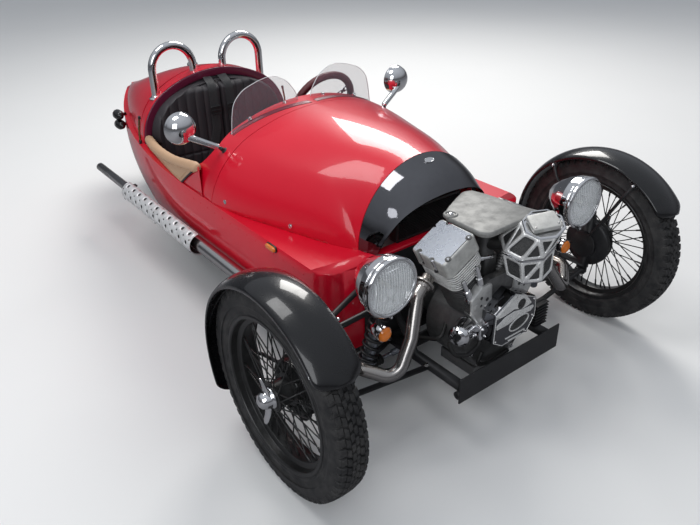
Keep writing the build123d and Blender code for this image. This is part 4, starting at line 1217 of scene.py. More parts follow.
@dataclass
class BodyShell:
    """Painted panels, their fasteners and the trim between them."""

    upper_rows: Rows = (
        (258, 283, 822), (400, 350, 838), (600, 413, 855), (860, 478, 863), (990, 485, 867),
        (1200, 489, 870)
    )
    nose_rows: Rows = ((112, 238, 710), (145, 249, 760), (195, 264, 800), (255, 283, 822))
    tub_half: float = 492.0
    stud_radius: float = 6.0

    def build(self) -> None:
        """Builds and dresses every panel."""
        self.panels()
        self.fasteners()
        self.ribbed_strips()
        self.badge()
        self.latches()
        self.rivets()

    def panels(self) -> None:
        """CAD panels in their paint."""
        for node in ("tub", "bonnet", "scuttle", "rear_deck", "boot_lid"):
            dress(node, RED)
        # The cowl is bright polished metal; its darkened finish paints in the dark reflections it
        # shows.
        dress("nose_cowl", DARK_CHROME_AND_REFLECTION)
        dress("filler_cap", CHROME)
        dress("wheel_arch", SATIN)
        dress("floor_pan", SATIN)

    def on_arch(self, rows: Rows, station: float, turn: float) -> tuple[np.ndarray, np.ndarray]:
        """A point on a panel and the outward direction there.

        The direction is the cross product of two short steps, one round the arch and one back.

        Args:
            rows: sections of the panel.
            station: distance behind the front axle.
            turn: place round the arch, 0 at its crown and -1 and 1 at its feet.

        Returns:
            The point and the unit direction outwards.
        """
        half, top = spline(rows, np.array([station]))[0]
        at = arch_points(station, half, top, np.array([turn, turn + 0.01]))
        half, top = spline(rows, np.array([station + 5]))[0]
        back = arch_points(station + 5, half, top, np.array([turn]))[0] - at[0]
        across = np.cross(at[1] - at[0], back)
        return at[0], unit(across if across[2] > 0 or turn * across[0] > 0 else -across)

    def stud(self, radius: float) -> Shape:
        """Quarter turn stud: a low dome with a ring round it, standing on the origin.

        Args:
            radius: radius of the stud's dome.

        Returns:
            The stud.
        """
        ring = lathe(
            (
                (-1, radius * 1.5), (1.2, radius * 1.45), (1.8, radius * 1.2), (1.2, radius),
                (-1, radius)
            ),
            (0, 0, 0), (0, 0, 1), 24, closed=True
        )
        dome = lathe(
            ((-1, 0), (-1, radius), (1.0, radius), (2.6, radius * 0.6), (3.0, 0)), (0, 0, 0),
            (0, 0, 1), 24
        )
        return ring.add(dome)

    def fasteners(self) -> None:
        """Quarter turn studs along the bonnet's lower edges, in a bright metal."""
        studs = Shape()
        rows = ((330, -0.95), (518, -0.95), (845, -0.95))
        for station, turn in rows:
            at, normal = self.on_arch(self.upper_rows, station, turn)
            normal = normal if normal[0] < 0 else -normal
            studs.stamp(self.stud(self.stud_radius), [at], basis(normal)[None])
        make("bonnet_studs", studs.both(), CHROME)

    def ribbed_strips(self) -> None:
        """Two long ribbed strips on the scuttle, sweeping back as they go down its sides.

        A strip is the panel's own surface over a narrow patch whose middle lies at station
        902 + 122 * turn, lifted by 0.3 mm and by 1.5 mm more along three ribs, which sink away
        at its ends.
        """
        strips, seams = Shape(), Shape()
        for sign in (-1, 1):
            turn = np.linspace(0.02, 0.56, 70)
            wide = np.linspace(-13, 13, 25)
            grid_turn, grid_wide = np.meshgrid(turn, wide)
            station = 902 + 122 * grid_turn + grid_wide
            levels = spline(self.upper_rows, station.ravel()).reshape(*station.shape, 2)
            half, top = np.moveaxis(levels, -1, 0)
            ends = np.minimum(1, 14 * (1 - np.abs(np.linspace(-1, 1, 70))))[None, :]
            rib = np.abs(np.cos(wide / 13 * 1.5 * math.pi))[:, None]
            rib = rib * (np.abs(wide) < 12.5)[:, None]
            points = arch_points(station, half, top, sign * grid_turn)
            inner = arch_points(station, half, top, sign * grid_turn, inset=1.0)
            strips.surface(
                points - (inner - points) * (0.3 + 1.5 * rib * ends)[..., None],
                away=(0, place(890), 0)
            )
            for row in (0, -1):
                seams.add(tube((points - (inner - points) * 0.2)[row], 1.6, 8))
        make("scuttle_strips", strips, RED_DARK)
        make("scuttle_seams", seams, SATIN)

    def badge(self) -> None:
        """Bare oval plate on the nose cowl."""
        at, normal = self.on_arch(self.nose_rows, 215, 0.0)
        outline = circle(1.0, 40) * (21, 12)
        plate = slab(
            outline, ((-2, 0), (1.0, 0), (1.8, 0.8), (1.8, 3), (1.3, 3.6)), at,
            (normal[0], normal[1], abs(normal[2])), hint=(0, 1, 0)
        )
        make("nose_plate", plate, CHROME)

    def latches(self) -> None:
        """Slim brass handles with black ends, upright on the deck's sides."""
        bar, ends = Shape(), Shape()
        line = np.array(
            ((-421, place(1792), 545), (-419, place(1788), 610), (-409, place(1786), 668))
        )
        bar.add(tube(fillet(line, 60, 6), 5.0, 14))
        ends.add(rod(line[0] + (0, 0, 12), line[0] - (0, 0, 10), 7.5, 2)).add(
            rod(line[2] - (0, 0, 8), line[2] + (1, 0, 8), 6.5, 2)
        )
        make("lid_latches", bar.both(), BRASS)
        make("latch_ends", ends.both(), SATIN)

    def rivets(self) -> None:
        """Row of domed rivets along the tub's top edge."""
        head = lathe(((0, 0), (0, 3.4), (0.9, 2.8), (1.5, 1.4), (1.7, 0)), (0, 0, 0), (0, 0, 1), 12)
        stations = np.arange(230, 1120, 62.0)
        centres = [(self.tub_half - 1.2, place(at), 505) for at in stations]
        rows = Shape().stamp(head, centres, basis((1, 0, 0)))
        make("tub_rivets", rows.both(), RED)


@dataclass
class Cockpit:
    """Rim, seats, trims, belts, dashboard, steering wheel, hoops, screens and mirrors."""

    deck_half: float = 408.01
    deck_top: float = 842.0
    deck_station: float = 1777.0
    rim_band: float = 40.0
    cushion_top: float = 328.0
    seat_half: float = 360.0
    wheel_centre: Point = (205.0, FRONT_AXLE_Y + 1130.0, 752.0)
    wheel_radius: float = 158.0
    grip_radius: float = 16.5
    tilt: float = math.radians(20.7)
    trim_foot: float = 1210.0
    hoop_radius: float = 107.0
    hoop_station: float = 1820.0
    screen_station: float = 966.0

    def build(self) -> None:
        """Builds every piece of the cockpit."""
        self.rim()
        self.seat_back()
        self.cushion()
        self.trims()
        self.harness()
        self.dashboard()
        self.steering_wheel()
        self.hoops()
        self.screens()
        self.mirrors()
        dress("steering_column", SATIN)

    def arch(self, station: float, turn: np.ndarray, inset: np.ndarray) -> np.ndarray:
        """Points of the deck's arch, moved in by an inset."""
        half = np.full_like(turn, self.deck_half)
        return arch_points(
            np.full_like(turn, station), half, np.full_like(turn, self.deck_top), turn, inset=inset
        )

    def rim(self) -> None:
        """Padded band round the cockpit's rear.

        A flat oval section is carried round the arch: at section angle b the inset is the
        band's middle plus its half width times cos b, and the place along the car is the depth
        times sin b.
        """
        turn = np.linspace(-1, 1, 121)
        angle = np.linspace(0, 2 * math.pi, 25)[:-1]
        power = 0.6
        wide = np.sign(np.cos(angle)) * np.abs(np.cos(angle)) ** power
        deep = np.sign(np.sin(angle)) * np.abs(np.sin(angle)) ** power
        grid_turn, grid_wide = np.meshgrid(turn, wide, indexing="ij")
        inset = self.rim_band / 2 + (self.rim_band / 2 - 0.5) * grid_wide
        points = self.arch(self.deck_station - 6, grid_turn, inset)
        points[..., 1] += 6 * deep[None, :]
        band = Shape().surface(points, wrap=True, caps=True)
        # The band's dark red is painted shade: the body's red darkened for the rim's face turned
        # from the light.
        make("cockpit_band", band, RIM_RED_SHADE, hides=("cockpit_rim",))
        rows = [
            self.arch(self.deck_station - 3, turn, np.full_like(turn, inset))
            for inset in (self.rim_band - 3, self.rim_band + 15, self.rim_band + 34)
        ]
        backing = Shape().surface(np.stack(rows), away=(0, place(self.deck_station) + 400, 560))
        make("rim_backing", backing, BLACK_HIDE, wall=1.5)

    def pleats(self, across: np.ndarray, pitch: float) -> np.ndarray:
        """Depth of sewn flutes, zero at the seams and one between them."""
        phase = np.abs(np.sin(across / pitch * math.pi))
        return phase**0.45

    def seat_back(self) -> None:
        """Fluted seat back, leaning against the bulkhead and following the arch above.

        Its front face is a grid over width and height: the depth is the crown of the whole pad
        plus the flutes, and both fall to zero over a rounded border.
        """
        rows, columns = 90, 260
        v = np.linspace(0, 1, rows)[:, None]
        u = np.linspace(-1, 1, columns)[None, :]
        z = 334 + v * (self.deck_top - self.rim_band - 12 - 334)
        rise = self.deck_top - self.rim_band - 8 - LEDGE_Z
        lift = np.clip((z - LEDGE_Z) / rise, 0, 1)
        half = np.where(z < LEDGE_Z, self.seat_half, self.seat_half * (1 - lift**2.6) ** 0.5 + 8)
        border = np.minimum(
            1, np.minimum((1 - np.abs(u)) * half / 26, np.minimum(v * 14, (1 - v) * 12))
        )
        edge = np.sin(np.clip(border, 0, 1) * math.pi / 2)
        x = u * half
        split = np.minimum(1, np.abs(x) / 9.0) ** 0.5
        flutes = self.pleats(x, 46.0)
        low = np.minimum(1, np.abs(z - 452) / 9) ** 0.5
        swell = 44 + 8 * np.cos(u * math.pi) + flutes * 10 * low
        depth = 4 + edge * swell * (0.55 + 0.45 * split)
        y = place(self.deck_station) - 4 - depth
        front = np.stack((x + 0 * z, y + 0 * x, z + 0 * x), -1)
        back = front.copy()
        back[..., 1] = place(self.deck_station) - 2
        pad = Shape().surface(
            np.concatenate((front, back[::-1])), loop=True,
            away=(0, place(self.deck_station) + 400, 560)
        )
        sides = Shape()
        for edge_line in (slice(0, 1), slice(-1, None)):
            strip = np.concatenate((front[:, edge_line], back[:, edge_line]), 1)
            sides.surface(strip, away=(0, place(self.deck_station) - 20, 560))
        piece = make("seat_back_pad", pad.add(sides), BLACK_HIDE, hides=("seat_back",), crease=180)
        roll_turn = np.linspace(-0.93, 0.93, 100)
        piping = self.arch(self.deck_station - 34, roll_turn, np.full(100, self.rim_band + 14.0))
        make("seat_piping", tube(piping, 3.4, 10), BLACK_HIDE)

    def cushion(self) -> None:
        """Two fluted seat cushions joined by a middle seam.

        Each is a closed form whose top is a power dome over width and length, with flutes along
        the car; the sides pull in below the top seam.
        """
        shape = Shape()
        angle = np.linspace(-math.pi, math.pi, 161)[:-1]
        ring = np.linspace(0, 1, 34)
        for side in (-1, 1):
            centre = (side * 182.0, place(1470), 212.0)
            half_x, half_y, height = 180.0, 223.0, self.cushion_top - 212.0
            corner = (np.abs(np.cos(angle)) ** 5 + np.abs(np.sin(angle)) ** 5) ** -0.2
            outline = np.stack((corner * np.cos(angle), corner * np.sin(angle)), -1)
            top = []
            for r in ring:
                flat = r * outline
                x, y = flat[:, 0] * half_x, flat[:, 1] * half_y
                dome = (1 - r**6) ** 0.5
                flute = self.pleats(x, 45.0) * min(1.0, (1 - r) * 9)
                z = height * 0.62 + dome * height * 0.27 + flute * height * 0.09
                top.append(np.stack((x, y, z), -1))
            side_rows = []
            for share, pull in ((0.62, 0.0), (0.5, -2.5), (0.3, -4.0), (0.1, -1.5), (0.0, -6.0)):
                scale_x, scale_y = (half_x + pull) / half_x, (half_y + pull) / half_y
                x, y = outline[:, 0] * half_x * scale_x, outline[:, 1] * half_y * scale_y
                side_rows.append(np.stack((x, y, np.full_like(x, share * height)), -1))
            side_rows.append(side_rows[-1] * (0.0, 0.0, 1.0))
            grid = np.stack(top + side_rows) + np.array(centre)
            shape.surface(grid, wrap=True)
        piece = make("seat_cushions", shape, BLACK_HIDE, hides=("seat_cushion",), crease=180)

    def trims(self) -> None:
        """Leather elbow trims: a stuffed roll along the tub's edge over a stitched panel.

        The roll's centre is a smooth curve through six stations, in plan and in height. The
        panel hangs from it to the ledge; its front edge slants back as it goes down and is
        piped, and a painted cheek fills the corner ahead of it.
        """
        rows = (
            (1022, 482, 661), (1140, 480, 640), (1280, 470, 612), (1420, 452, 590),
            (1600, 424, 572), (1762, 390, 566)
        )
        station = np.linspace(1030, 1758, 130)
        x, z = spline(rows, station).T
        line = np.stack((x, place(0) + station, z), -1)
        fade = np.minimum(1, np.minimum((station - 1012) / 50, (1780 - station) / 40))
        wobble = 1 + 0.012 * np.sin(station * 0.09) + 0.008 * np.sin(station * 0.23 + 1)
        roll = tube(line, 21.5 * np.sqrt(np.clip(fade, 0.05, 1)) * wobble, 28)
        foot = np.interp(station, (1040, self.trim_foot), (655, LEDGE_Z + 1))
        low = np.stack((x, line[:, 1], np.minimum(foot, z - 4)), -1)
        v = np.linspace(0, 1, 12)[:, None, None]
        bulge = np.sin(np.linspace(0, math.pi, 12))[:, None]
        for offset, sign in ((10.0, 1), (-10.0, -1)):
            sheet = line[None] * (1 - v) + low[None] * v
            sheet[..., 0] += offset + sign * 2.5 * bulge
            roll.surface(sheet, away=tuple(sheet.mean((0, 1)) - (sign * 100, 0, 0)))
        piece = make("elbow_rolls", roll.both(), TAN_HIDE, hides=("elbow_trims",), crease=180)
        piping = Shape()
        for angle in (math.radians(-38), math.radians(-62)):
            out = 22.3
            path = line + np.stack(
                (
                    out * np.cos(angle) * np.ones_like(x), 0 * x,
                    out * np.sin(angle) * np.ones_like(x)
                ),
                -1
            )
            piping.add(tube(path[4:-4], 2.2, 8))
        inner = station > self.trim_foot + 10
        seam = low[inner] + np.array((11.5, 0, 13))
        corner = low[~inner][::3] + np.array((12.5, 17, 8))
        piping.add(tube(np.concatenate((corner, seam)), 1.4, 8))
        make("elbow_piping", piping.both(), TAN_HIDE)
        edge = low[(station > 1034) & (station < self.trim_foot)] + np.array((9.0, 0, 0))
        make("elbow_edges", tube(edge, 4.2, 12).both(), BLACK_HIDE)
        run = np.linspace(1012, self.trim_foot + 6, 40)
        wide = np.interp(run, (1012, 1022, 1140, 1280), (484, 483, 480, 470)) + 4.5
        tall = np.maximum(
            np.interp(run, (1012, 1040, self.trim_foot), (672, 657, LEDGE_Z + 3)), LEDGE_Z + 2
        )
        top, base = (
            np.column_stack((wide, place(0) + run, z_line))
            for z_line in (tall, np.full(40, LEDGE_Z + 0.5))
        )
        cheek = Shape().surface(
            np.stack([top * (1 - k) + base * k for k in np.linspace(0, 1, 6)]),
            away=(0, place(1100), 600)
        )
        make("scuttle_cheeks", cheek.both(), RED, wall=1.5)

    def harness(self) -> None:
        """Shoulder and lap straps with their buckles, lying on the seats."""
        straps, metal, dark = Shape(), Shape(), Shape()
        section = round_rectangle(46, 2.6, 1.2, 2)
        for sign in (-1, 1):
            centre = sign * 188
            path = fillet(
                (
                    (sign * 40, place(1769), 806), (sign * 44, place(1708), 770),
                    (sign * 50, place(1697), 560), (sign * 92, place(1698), 420),
                    (sign * 150, place(1650), 346)
                ),
                60, 8
            )
            straps.add(tube(path, 1.0, section=section, up=(0, -1, 0.2)))
            dark.add(
                soft_slab(
                    round_rectangle(54, 40, 6), 7, 2, (sign * 47, place(1696), 655), (0, -1, 0)
                )
            )
            dark.add(self.buckle((sign * 47, place(1690), 655)))
            lap = fillet(
                (
                    (centre - 160, place(1690), 338), (centre - 80, place(1600), 340),
                    (centre, place(1580), 342), (centre + 80, place(1600), 340),
                    (centre + 160, place(1690), 338)
                ),
                120, 8
            )
            straps.add(tube(lap, 1.0, section=section[:, ::-1][::-1], up=(0, 0, 1)))
            metal.add(
                soft_slab(round_rectangle(58, 66, 12), 16, 3, (centre, place(1584), 342), (0, 0, 1))
            )
        make("harness_straps", straps, STRAP, hides=("harness",))
        make("harness_buckles", metal, STEEL)
        make("harness_slides", dark, SATIN)

    def buckle(self, centre: Point) -> Shape:
        """Three bar slide: a rounded frame with a bar across.

        Args:
            centre: middle of the slide.

        Returns:
            The slide.
        """
        x, y, z = centre
        ring = [(x - 28, y, z - 18), (x + 28, y, z - 18), (x + 28, y, z + 18), (x - 28, y, z + 18)]
        frame_bar = tube(fillet(ring, 6, 4, closed=True), 2.4, 8, closed=True)
        return frame_bar.add(rod((x - 28, y, z), (x + 28, y, z), 2.2))

    def dashboard(self) -> None:
        """Panel with bezelled dials, marks and switches."""
        dress("dashboard", BLACK_HIDE, bevel=0.8)
        metal, faces, marks = Shape(), Shape(), Shape()
        face_y = place(956)
        for x, z, radius in ((0, 760, 54), (-130, 740, 29), (110, 700, 21), (-230, 700, 21)):
            bezel = (
                (-1, radius), (4, radius + 1), (6, radius - 1), (5, radius - 4), (1, radius - 5),
                (-1, radius - 5)
            )
            metal.add(lathe(bezel, (x, face_y, z), (0, 1, 0), 48, closed=True))
            faces.add(
                lathe(
                    ((0, 0), (0, radius - 4), (0.6, radius - 4.5), (1.2, 0)), (x, face_y, z),
                    (0, 1, 0), 40
                )
            )
            turn = np.radians(np.linspace(-130, 130, 11))
            tick = slab(
                round_rectangle(1.6, radius * 0.2, 0.3, 1), ((0, 0), (0.8, 0)),
                (0, radius * 0.72, 0), (0, 0, 1), hint=(0, 1, 0)
            )
            axes = np.stack(
                [
                    np.array(
                        ((-math.cos(a), 0, math.sin(a)), (math.sin(a), 0, math.cos(a)), (0, 1, 0))
                    )
                    for a in turn
                ]
            )
            marks.stamp(tick, [(x, face_y + 1.3, z)] * len(turn), axes)
            needle = slab(
                round_rectangle(1.8, radius * 0.7, 0.5, 1), ((0, 0), (1, 0.2)),
                (0, radius * 0.3, 0), (0, 0, 1), hint=(0, 1, 0)
            )
            marks.stamp(needle, [(x, face_y + 2.2, z)], axes[2:3])
        knob = lathe(
            ((0, 0), (0, 6), (3, 6), (4, 3), (12, 2.5), (16, 4.5), (21, 3.5), (22, 0)), (0, 0, 0),
            (0, 0, 1), 16
        )
        switches = [(x, face_y - 1, 668) for x in (-60, -30, 0, 30, 60)]
        metal.stamp(knob, switches, basis((0, 1, 0)))
        make("dial_bezels", metal, CHROME)
        make("dial_faces", faces, DIAL)
        make("dial_marks", marks, WHITE)

    def steering_wheel(self) -> None:
        """Leather bound rim with stitches, three drilled alloy spokes, and a hub with bolts."""
        axis = np.array((0.0, math.cos(self.tilt), math.sin(self.tilt)))
        side, up, run = basis(axis)
        centre = np.array(self.wheel_centre)
        turn = np.arange(160) * 2 * math.pi / 160
        ring = np.cos(turn)[:, None] * side + np.sin(turn)[:, None] * up
        swell = 1 + 0.02 * np.cos(turn * 40)
        rim = tube(
            centre + self.wheel_radius * ring, self.grip_radius * swell, 24, closed=True, up=run
        )
        stitch = Shape()
        inner = centre + (self.wheel_radius - self.grip_radius + 0.2) * ring + run * 3
        thread = lathe(((-3.6, 0), (-3.2, 0.7), (3.2, 0.7), (3.6, 0)), (0, 0, 0), (0, 0, 1), 6)
        slant = unit(run + 0.6 * (np.roll(inner, -1, 0) - inner) / 6)
        axes = np.stack([basis(a, (1, 0, 0)) for a in slant])
        stitch.stamp(thread, inner, axes)
        make("steering_grip", rim, RED_HIDE, Body.STEERING, hides=("steering_wheel",))
        make("steering_stitches", stitch, BLACK_HIDE, Body.STEERING)
        metal = Shape()
        for angle in (-90, 30, 150):
            direction = math.cos(math.radians(angle)) * side + math.sin(math.radians(angle)) * up
            cross = np.cross(run, direction)
            self.spoke(metal, centre, direction, cross, run)
        hub = ((-22, 0), (-22, 30), (-4, 36), (2, 36), (2, 24), (8, 22), (10, 18), (10, 0))
        metal.add(lathe(fillet(hub, 2, 3), centre, axis, 40))
        head = bolt(4, 3.5)
        spots = [
            centre + 29 * (math.cos(a) * side + math.sin(a) * up) + run * 2
            for a in np.arange(6) * math.pi / 3
        ]
        metal.stamp(head, spots, np.stack((side, up, run)))
        make("steering_spokes", metal, SATIN_ALLOY, Body.STEERING)
        cap = lathe(((9, 0), (9, 16), (12, 15), (14, 8), (14.5, 0)), centre, axis, 30)
        make("steering_boss", cap, BLACK, Body.STEERING)

    def spoke(
        self, metal: Shape, centre: np.ndarray, along: np.ndarray, cross: np.ndarray,
        run: np.ndarray
    ) -> None:
        """Adds a tapered spoke plate with four round holes.

        The plate is a ring of quads between its outline and each hole: cells along the spoke,
        each with a circle in it, joined along their shared sides.

        Args:
            metal: the shape that takes the plate.
            centre: the hub's centre.
            along: direction of the spoke.
            cross: direction across it.
            run: the wheel's axis.
        """
        stations = np.linspace(26, self.wheel_radius - 6, 5)
        half = np.interp(stations, (26, 90, 152), (15, 10, 15))
        steps = 16
        angle = (np.arange(steps) + 0.5) * 2 * math.pi / steps
        for index in range(4):
            low, high = stations[index], stations[index + 1]
            middle, reach = (low + high) / 2, (high - low) / 2
            width = (half[index] + half[index + 1]) / 2
            big = np.maximum(np.abs(np.cos(angle)), np.abs(np.sin(angle)))
            square = np.stack((np.cos(angle) / big, np.sin(angle) / big), 1)
            outer_u = middle + reach * square[:, 0]
            local_half = np.interp(outer_u, stations, half)
            outer = np.stack((outer_u, local_half * square[:, 1]), 1)
            hole_radius = min(width, reach) * 0.55
            hole = np.stack((middle + hole_radius * np.cos(angle), hole_radius * np.sin(angle)), 1)
            rings = [(outer, 1.8), (hole, 1.8), (hole, -1.8), (outer, -1.8)]
            grid = np.stack(
                [centre + r[:, :1] * along + r[:, 1:] * cross + h * run for r, h in rings]
            )
            metal.surface(grid, wrap=True, loop=True)

    def hoops(self) -> None:
        """Polished roll hoops on flanged feet."""
        shape, feet = Shape(), Shape()
        turn = np.linspace(0, math.pi, 40)
        across, along = self.hoop_radius, place(self.hoop_station)
        for centre in (-188, 188):
            arc = np.stack(
                (centre + across * np.cos(turn), np.full(40, along), 862 + across * np.sin(turn)),
                -1
            )
            right = [(centre + across, along, z) for z in (706, 780, 840)]
            path = np.concatenate(
                (right, arc, [(centre - across, p[1], p[2]) for p in right[::-1]])
            )
            shape.add(tube(path, 19, 28))
            for side in (-across, across):
                foot = ((0, 18), (0, 34), (3, 34), (8, 24), (16, 21.5), (18, 18))
                height = 806 if abs(centre + side) < 150 else 745
                feet.add(
                    lathe(
                        fillet(foot, 2, 2, closed=True), (centre + side, along, height - 12),
                        (0, 0, 1), 32, closed=True
                    )
                )
        make("hoop_bars", shape, CHROME, hides=("roll_hoops",))
        make("hoop_feet", feet, CHROME)

    def screens(self) -> None:
        """Clear screens with thin bright edges, held by small clamps on the scuttle."""
        along = place(self.screen_station)
        corners = (
            (30, 846), (36, 890), (78, 948), (126, 974), (164, 980), (216, 970), (284, 948),
            (330, 906), (342, 850), (350, 784)
        )
        outline = fillet(corners, 110, 8)
        ring = np.concatenate((outline, [(250, 806), (120, 838)]))
        pane = slab(ring[::-1], ((0, 0), (3.5, 0)), (0, along, 0), (0, 1, 0), hint=(0, 0, 1))
        make("screens", pane.both(), CLEAR, hides=("aero_screens",))
        line = np.stack((outline[:, 0], np.full(len(outline), along + 1.7), outline[:, 1]), -1)
        edge = tube(line, 1.0, section=round_rectangle(1.6, 4.6, 0.7, 2), up=(0, 1, 0))
        make("screen_edges", edge.both(), CLEAR_EDGE)
        clamps = Shape()
        for x, z in ((96, 858), (262, 826)):
            clamps.add(soft_slab(round_rectangle(15, 20, 4), 10, 1.5, (x, along - 3, z), (0, 1, 0)))
            clamps.stamp(dome_nut(3, 5), [(x, along - 4, z + 3)], basis((0, -1, 0))[None])
        make("screen_clamps", clamps.both(), CHROME)

    def mirrors(self) -> None:
        """Domed mirrors: bright bowls with a rolled edge, glass behind, on tapered arms."""
        head = np.array((541.0, place(1000), 838.0))
        foot = np.array((402.0, place(942), 736.0))
        turn = np.linspace(0, math.pi / 2, 14)
        dome = [(8 + 50 * math.sin(a), 61.5 * math.cos(a)) for a in turn]
        bowl = [(0.5, 58), (-1, 60.5), (0, 63), (4, 63.5), (8, 61.5)] + dome[1:]
        shell = lathe([(3, 55.5)] + bowl, head + (0, 20, 0), (0, -1, 0), 56)
        stem = head + np.array((0, -18, -20))
        path = fillet((foot, foot + (18, 10, 16), stem), 30, 8)
        shell.add(tube(path, np.linspace(4.6, 13.0, len(path)), 18))
        make("mirror_bowls", shell.both(), CHROME, hides=("mirrors",))
        glass = lathe(((1.2, 0), (1.6, 30), (3.0, 57)), head + (0, 20, 0), (0, -1, 0), 56)
        make("mirror_glasses", glass.both(), MIRROR)
        normal = unit(np.array((0.75, 0.0, 0.66)))
        base = ((-10, 0), (-10, 14), (-2, 14), (3, 13), (6, 9), (12, 8), (22, 7.5), (24, 0))
        bases = lathe(fillet(base, 2, 3), foot, normal, 32)
        make("mirror_bases", bases.both(), SATIN)


@dataclass
class Tyre:
    """A tyre: carcass with moulded sidewall rings and separate tread blocks."""

    name: str
    node: str
    body: Body
    centre: Point
    radius: float
    half: float
    bead: float
    rim_half: float
    steps: int
    rows: Rows
    block_height: float = 7.0

    def profile(self) -> np.ndarray:
        """Carcass section from one bead over the tread to the other.

        Returns:
            Rows of place across the tyre and radius.
        """
        shoulder, crown = self.half * 0.86, self.radius - self.block_height
        side = self.half
        right = (
            (0, crown),
            (shoulder * 0.5, crown - 0.6),
            (shoulder * 0.88, crown - 4.5),
            (shoulder, crown - 9),
            (shoulder + 2.0, crown - 16),
            (side - 1.5, crown - 30),
            (side - 0.2, crown - 42),
            (side + 1.0, crown - 44),
            (side + 1.0, crown - 48),
            (side - 0.2, crown - 50),
            (side - 2.5, (crown + self.bead) / 2 - 2),
            (side - 4.8, self.bead + 26),
            (side - 4.0, self.bead + 24),
            (side - 4.0, self.bead + 21),
            (side - 6.2, self.bead + 19),
            (self.rim_half - 3.0, self.bead + 9),
            (self.rim_half - 5.0, self.bead + 1),
            (self.rim_half - 12.0, self.bead + 0.5),
        )
        half = np.asarray(right)
        left = half[::-1] * (-1, 1)
        return np.concatenate((left[:-1], half))

    def block(self, length: float, width: float, skew: float, height: float) -> Shape:
        """Tread block: a slanted outline drawn in towards its top, with a sipe's dip.

        Args:
            length: size along the tyre's turn.
            width: size across.
            skew: how far the outer side lies ahead of the middle.
            height: how far the block stands out of the carcass.

        Returns:
            The block, standing on the origin.
        """
        along, across = length / 2, width / 2
        right, left = (across, along + skew), (-across, along - skew)
        corners = ((across, skew - along), right, left, (-across, -along - skew))
        outline = fillet(corners, 1.6, 2, closed=True)
        return slab(
            outline, ((-height - 2, -0.8), (-0.9, 0), (0, 0.9)), (0, 0, 0), (0, 0, 1),
            hint=(0, 1, 0)
        )

    def build(self) -> None:
        """Builds the tyre round the car's cross axis.

        Each row gives (offset across, drop below the crown, length, width, skew, tilt in
        degrees, phase in steps). A block's own axes are across, along the turn, and outwards.
        """
        shape = lathe(self.profile(), self.centre, (1, 0, 0), 144, closed=True)
        step = 2 * math.pi / self.steps
        pitch = step * self.radius
        for across, drop, length, width, skew, tilt, phase in self.rows:
            turn = (np.arange(self.steps) + phase) * step
            zero = np.zeros_like(turn)
            out = np.stack((zero, np.cos(turn), np.sin(turn)), -1)
            along = np.stack((zero, np.sin(turn), -np.cos(turn)), -1)
            lean = math.radians(tilt)
            side = np.array((1.0, 0.0, 0.0))
            up = math.cos(lean) * out + math.sin(lean) * side
            cross = math.cos(lean) * side - math.sin(lean) * out
            axes = np.stack((cross, along, up), 1)
            centres = np.asarray(self.centre) + across * side + (self.radius - drop) * out
            height = self.block_height if abs(tilt) < 30 else 3.5
            shape.stamp(self.block(length * pitch, width, skew, height), centres, axes)
        make(self.name, shape, TYRE, self.body, hides=(self.node,), crease=40)


FRONT_TREAD: Rows = (
    (-6.5, 0.1, 0.66, 11.5, 2.6, -1, 0.0),
    (6.5, 0.1, 0.66, 11.5, 2.6, 1, 0.5),
    (-21.5, 0.8, 0.72, 13.0, -3.0, -5, 0.35),
    (21.5, 0.8, 0.72, 13.0, -3.0, 5, 0.85),
    (-37.8, 3.2, 0.68, 14.5, 1.5, -12, 0.1),
    (37.8, 3.2, 0.68, 14.5, 1.5, 12, 0.6),
    (-48.6, 15.5, 0.6, 17.0, 0.0, -74, 0.1),
    (48.6, 15.5, 0.6, 17.0, 0.0, 74, 0.6),
)
REAR_TREAD: Rows = (
    (-9.5, 0.1, 0.86, 15.0, 2.5, 0, 0.0),
    (9.5, 0.1, 0.86, 15.0, 2.5, 0, 0.5),
    (-31.0, 0.4, 0.78, 19.0, -3.0, -2, 0.3),
    (31.0, 0.4, 0.78, 19.0, -3.0, 2, 0.8),
    (-53.0, 1.2, 0.78, 18.0, 3.0, -4, 0.1),
    (53.0, 1.2, 0.78, 18.0, 3.0, 4, 0.6),
    (-71.5, 3.2, 0.7, 14.5, 1.0, -10, 0.4),
    (71.5, 3.2, 0.7, 14.5, 1.0, 10, 0.9),
)


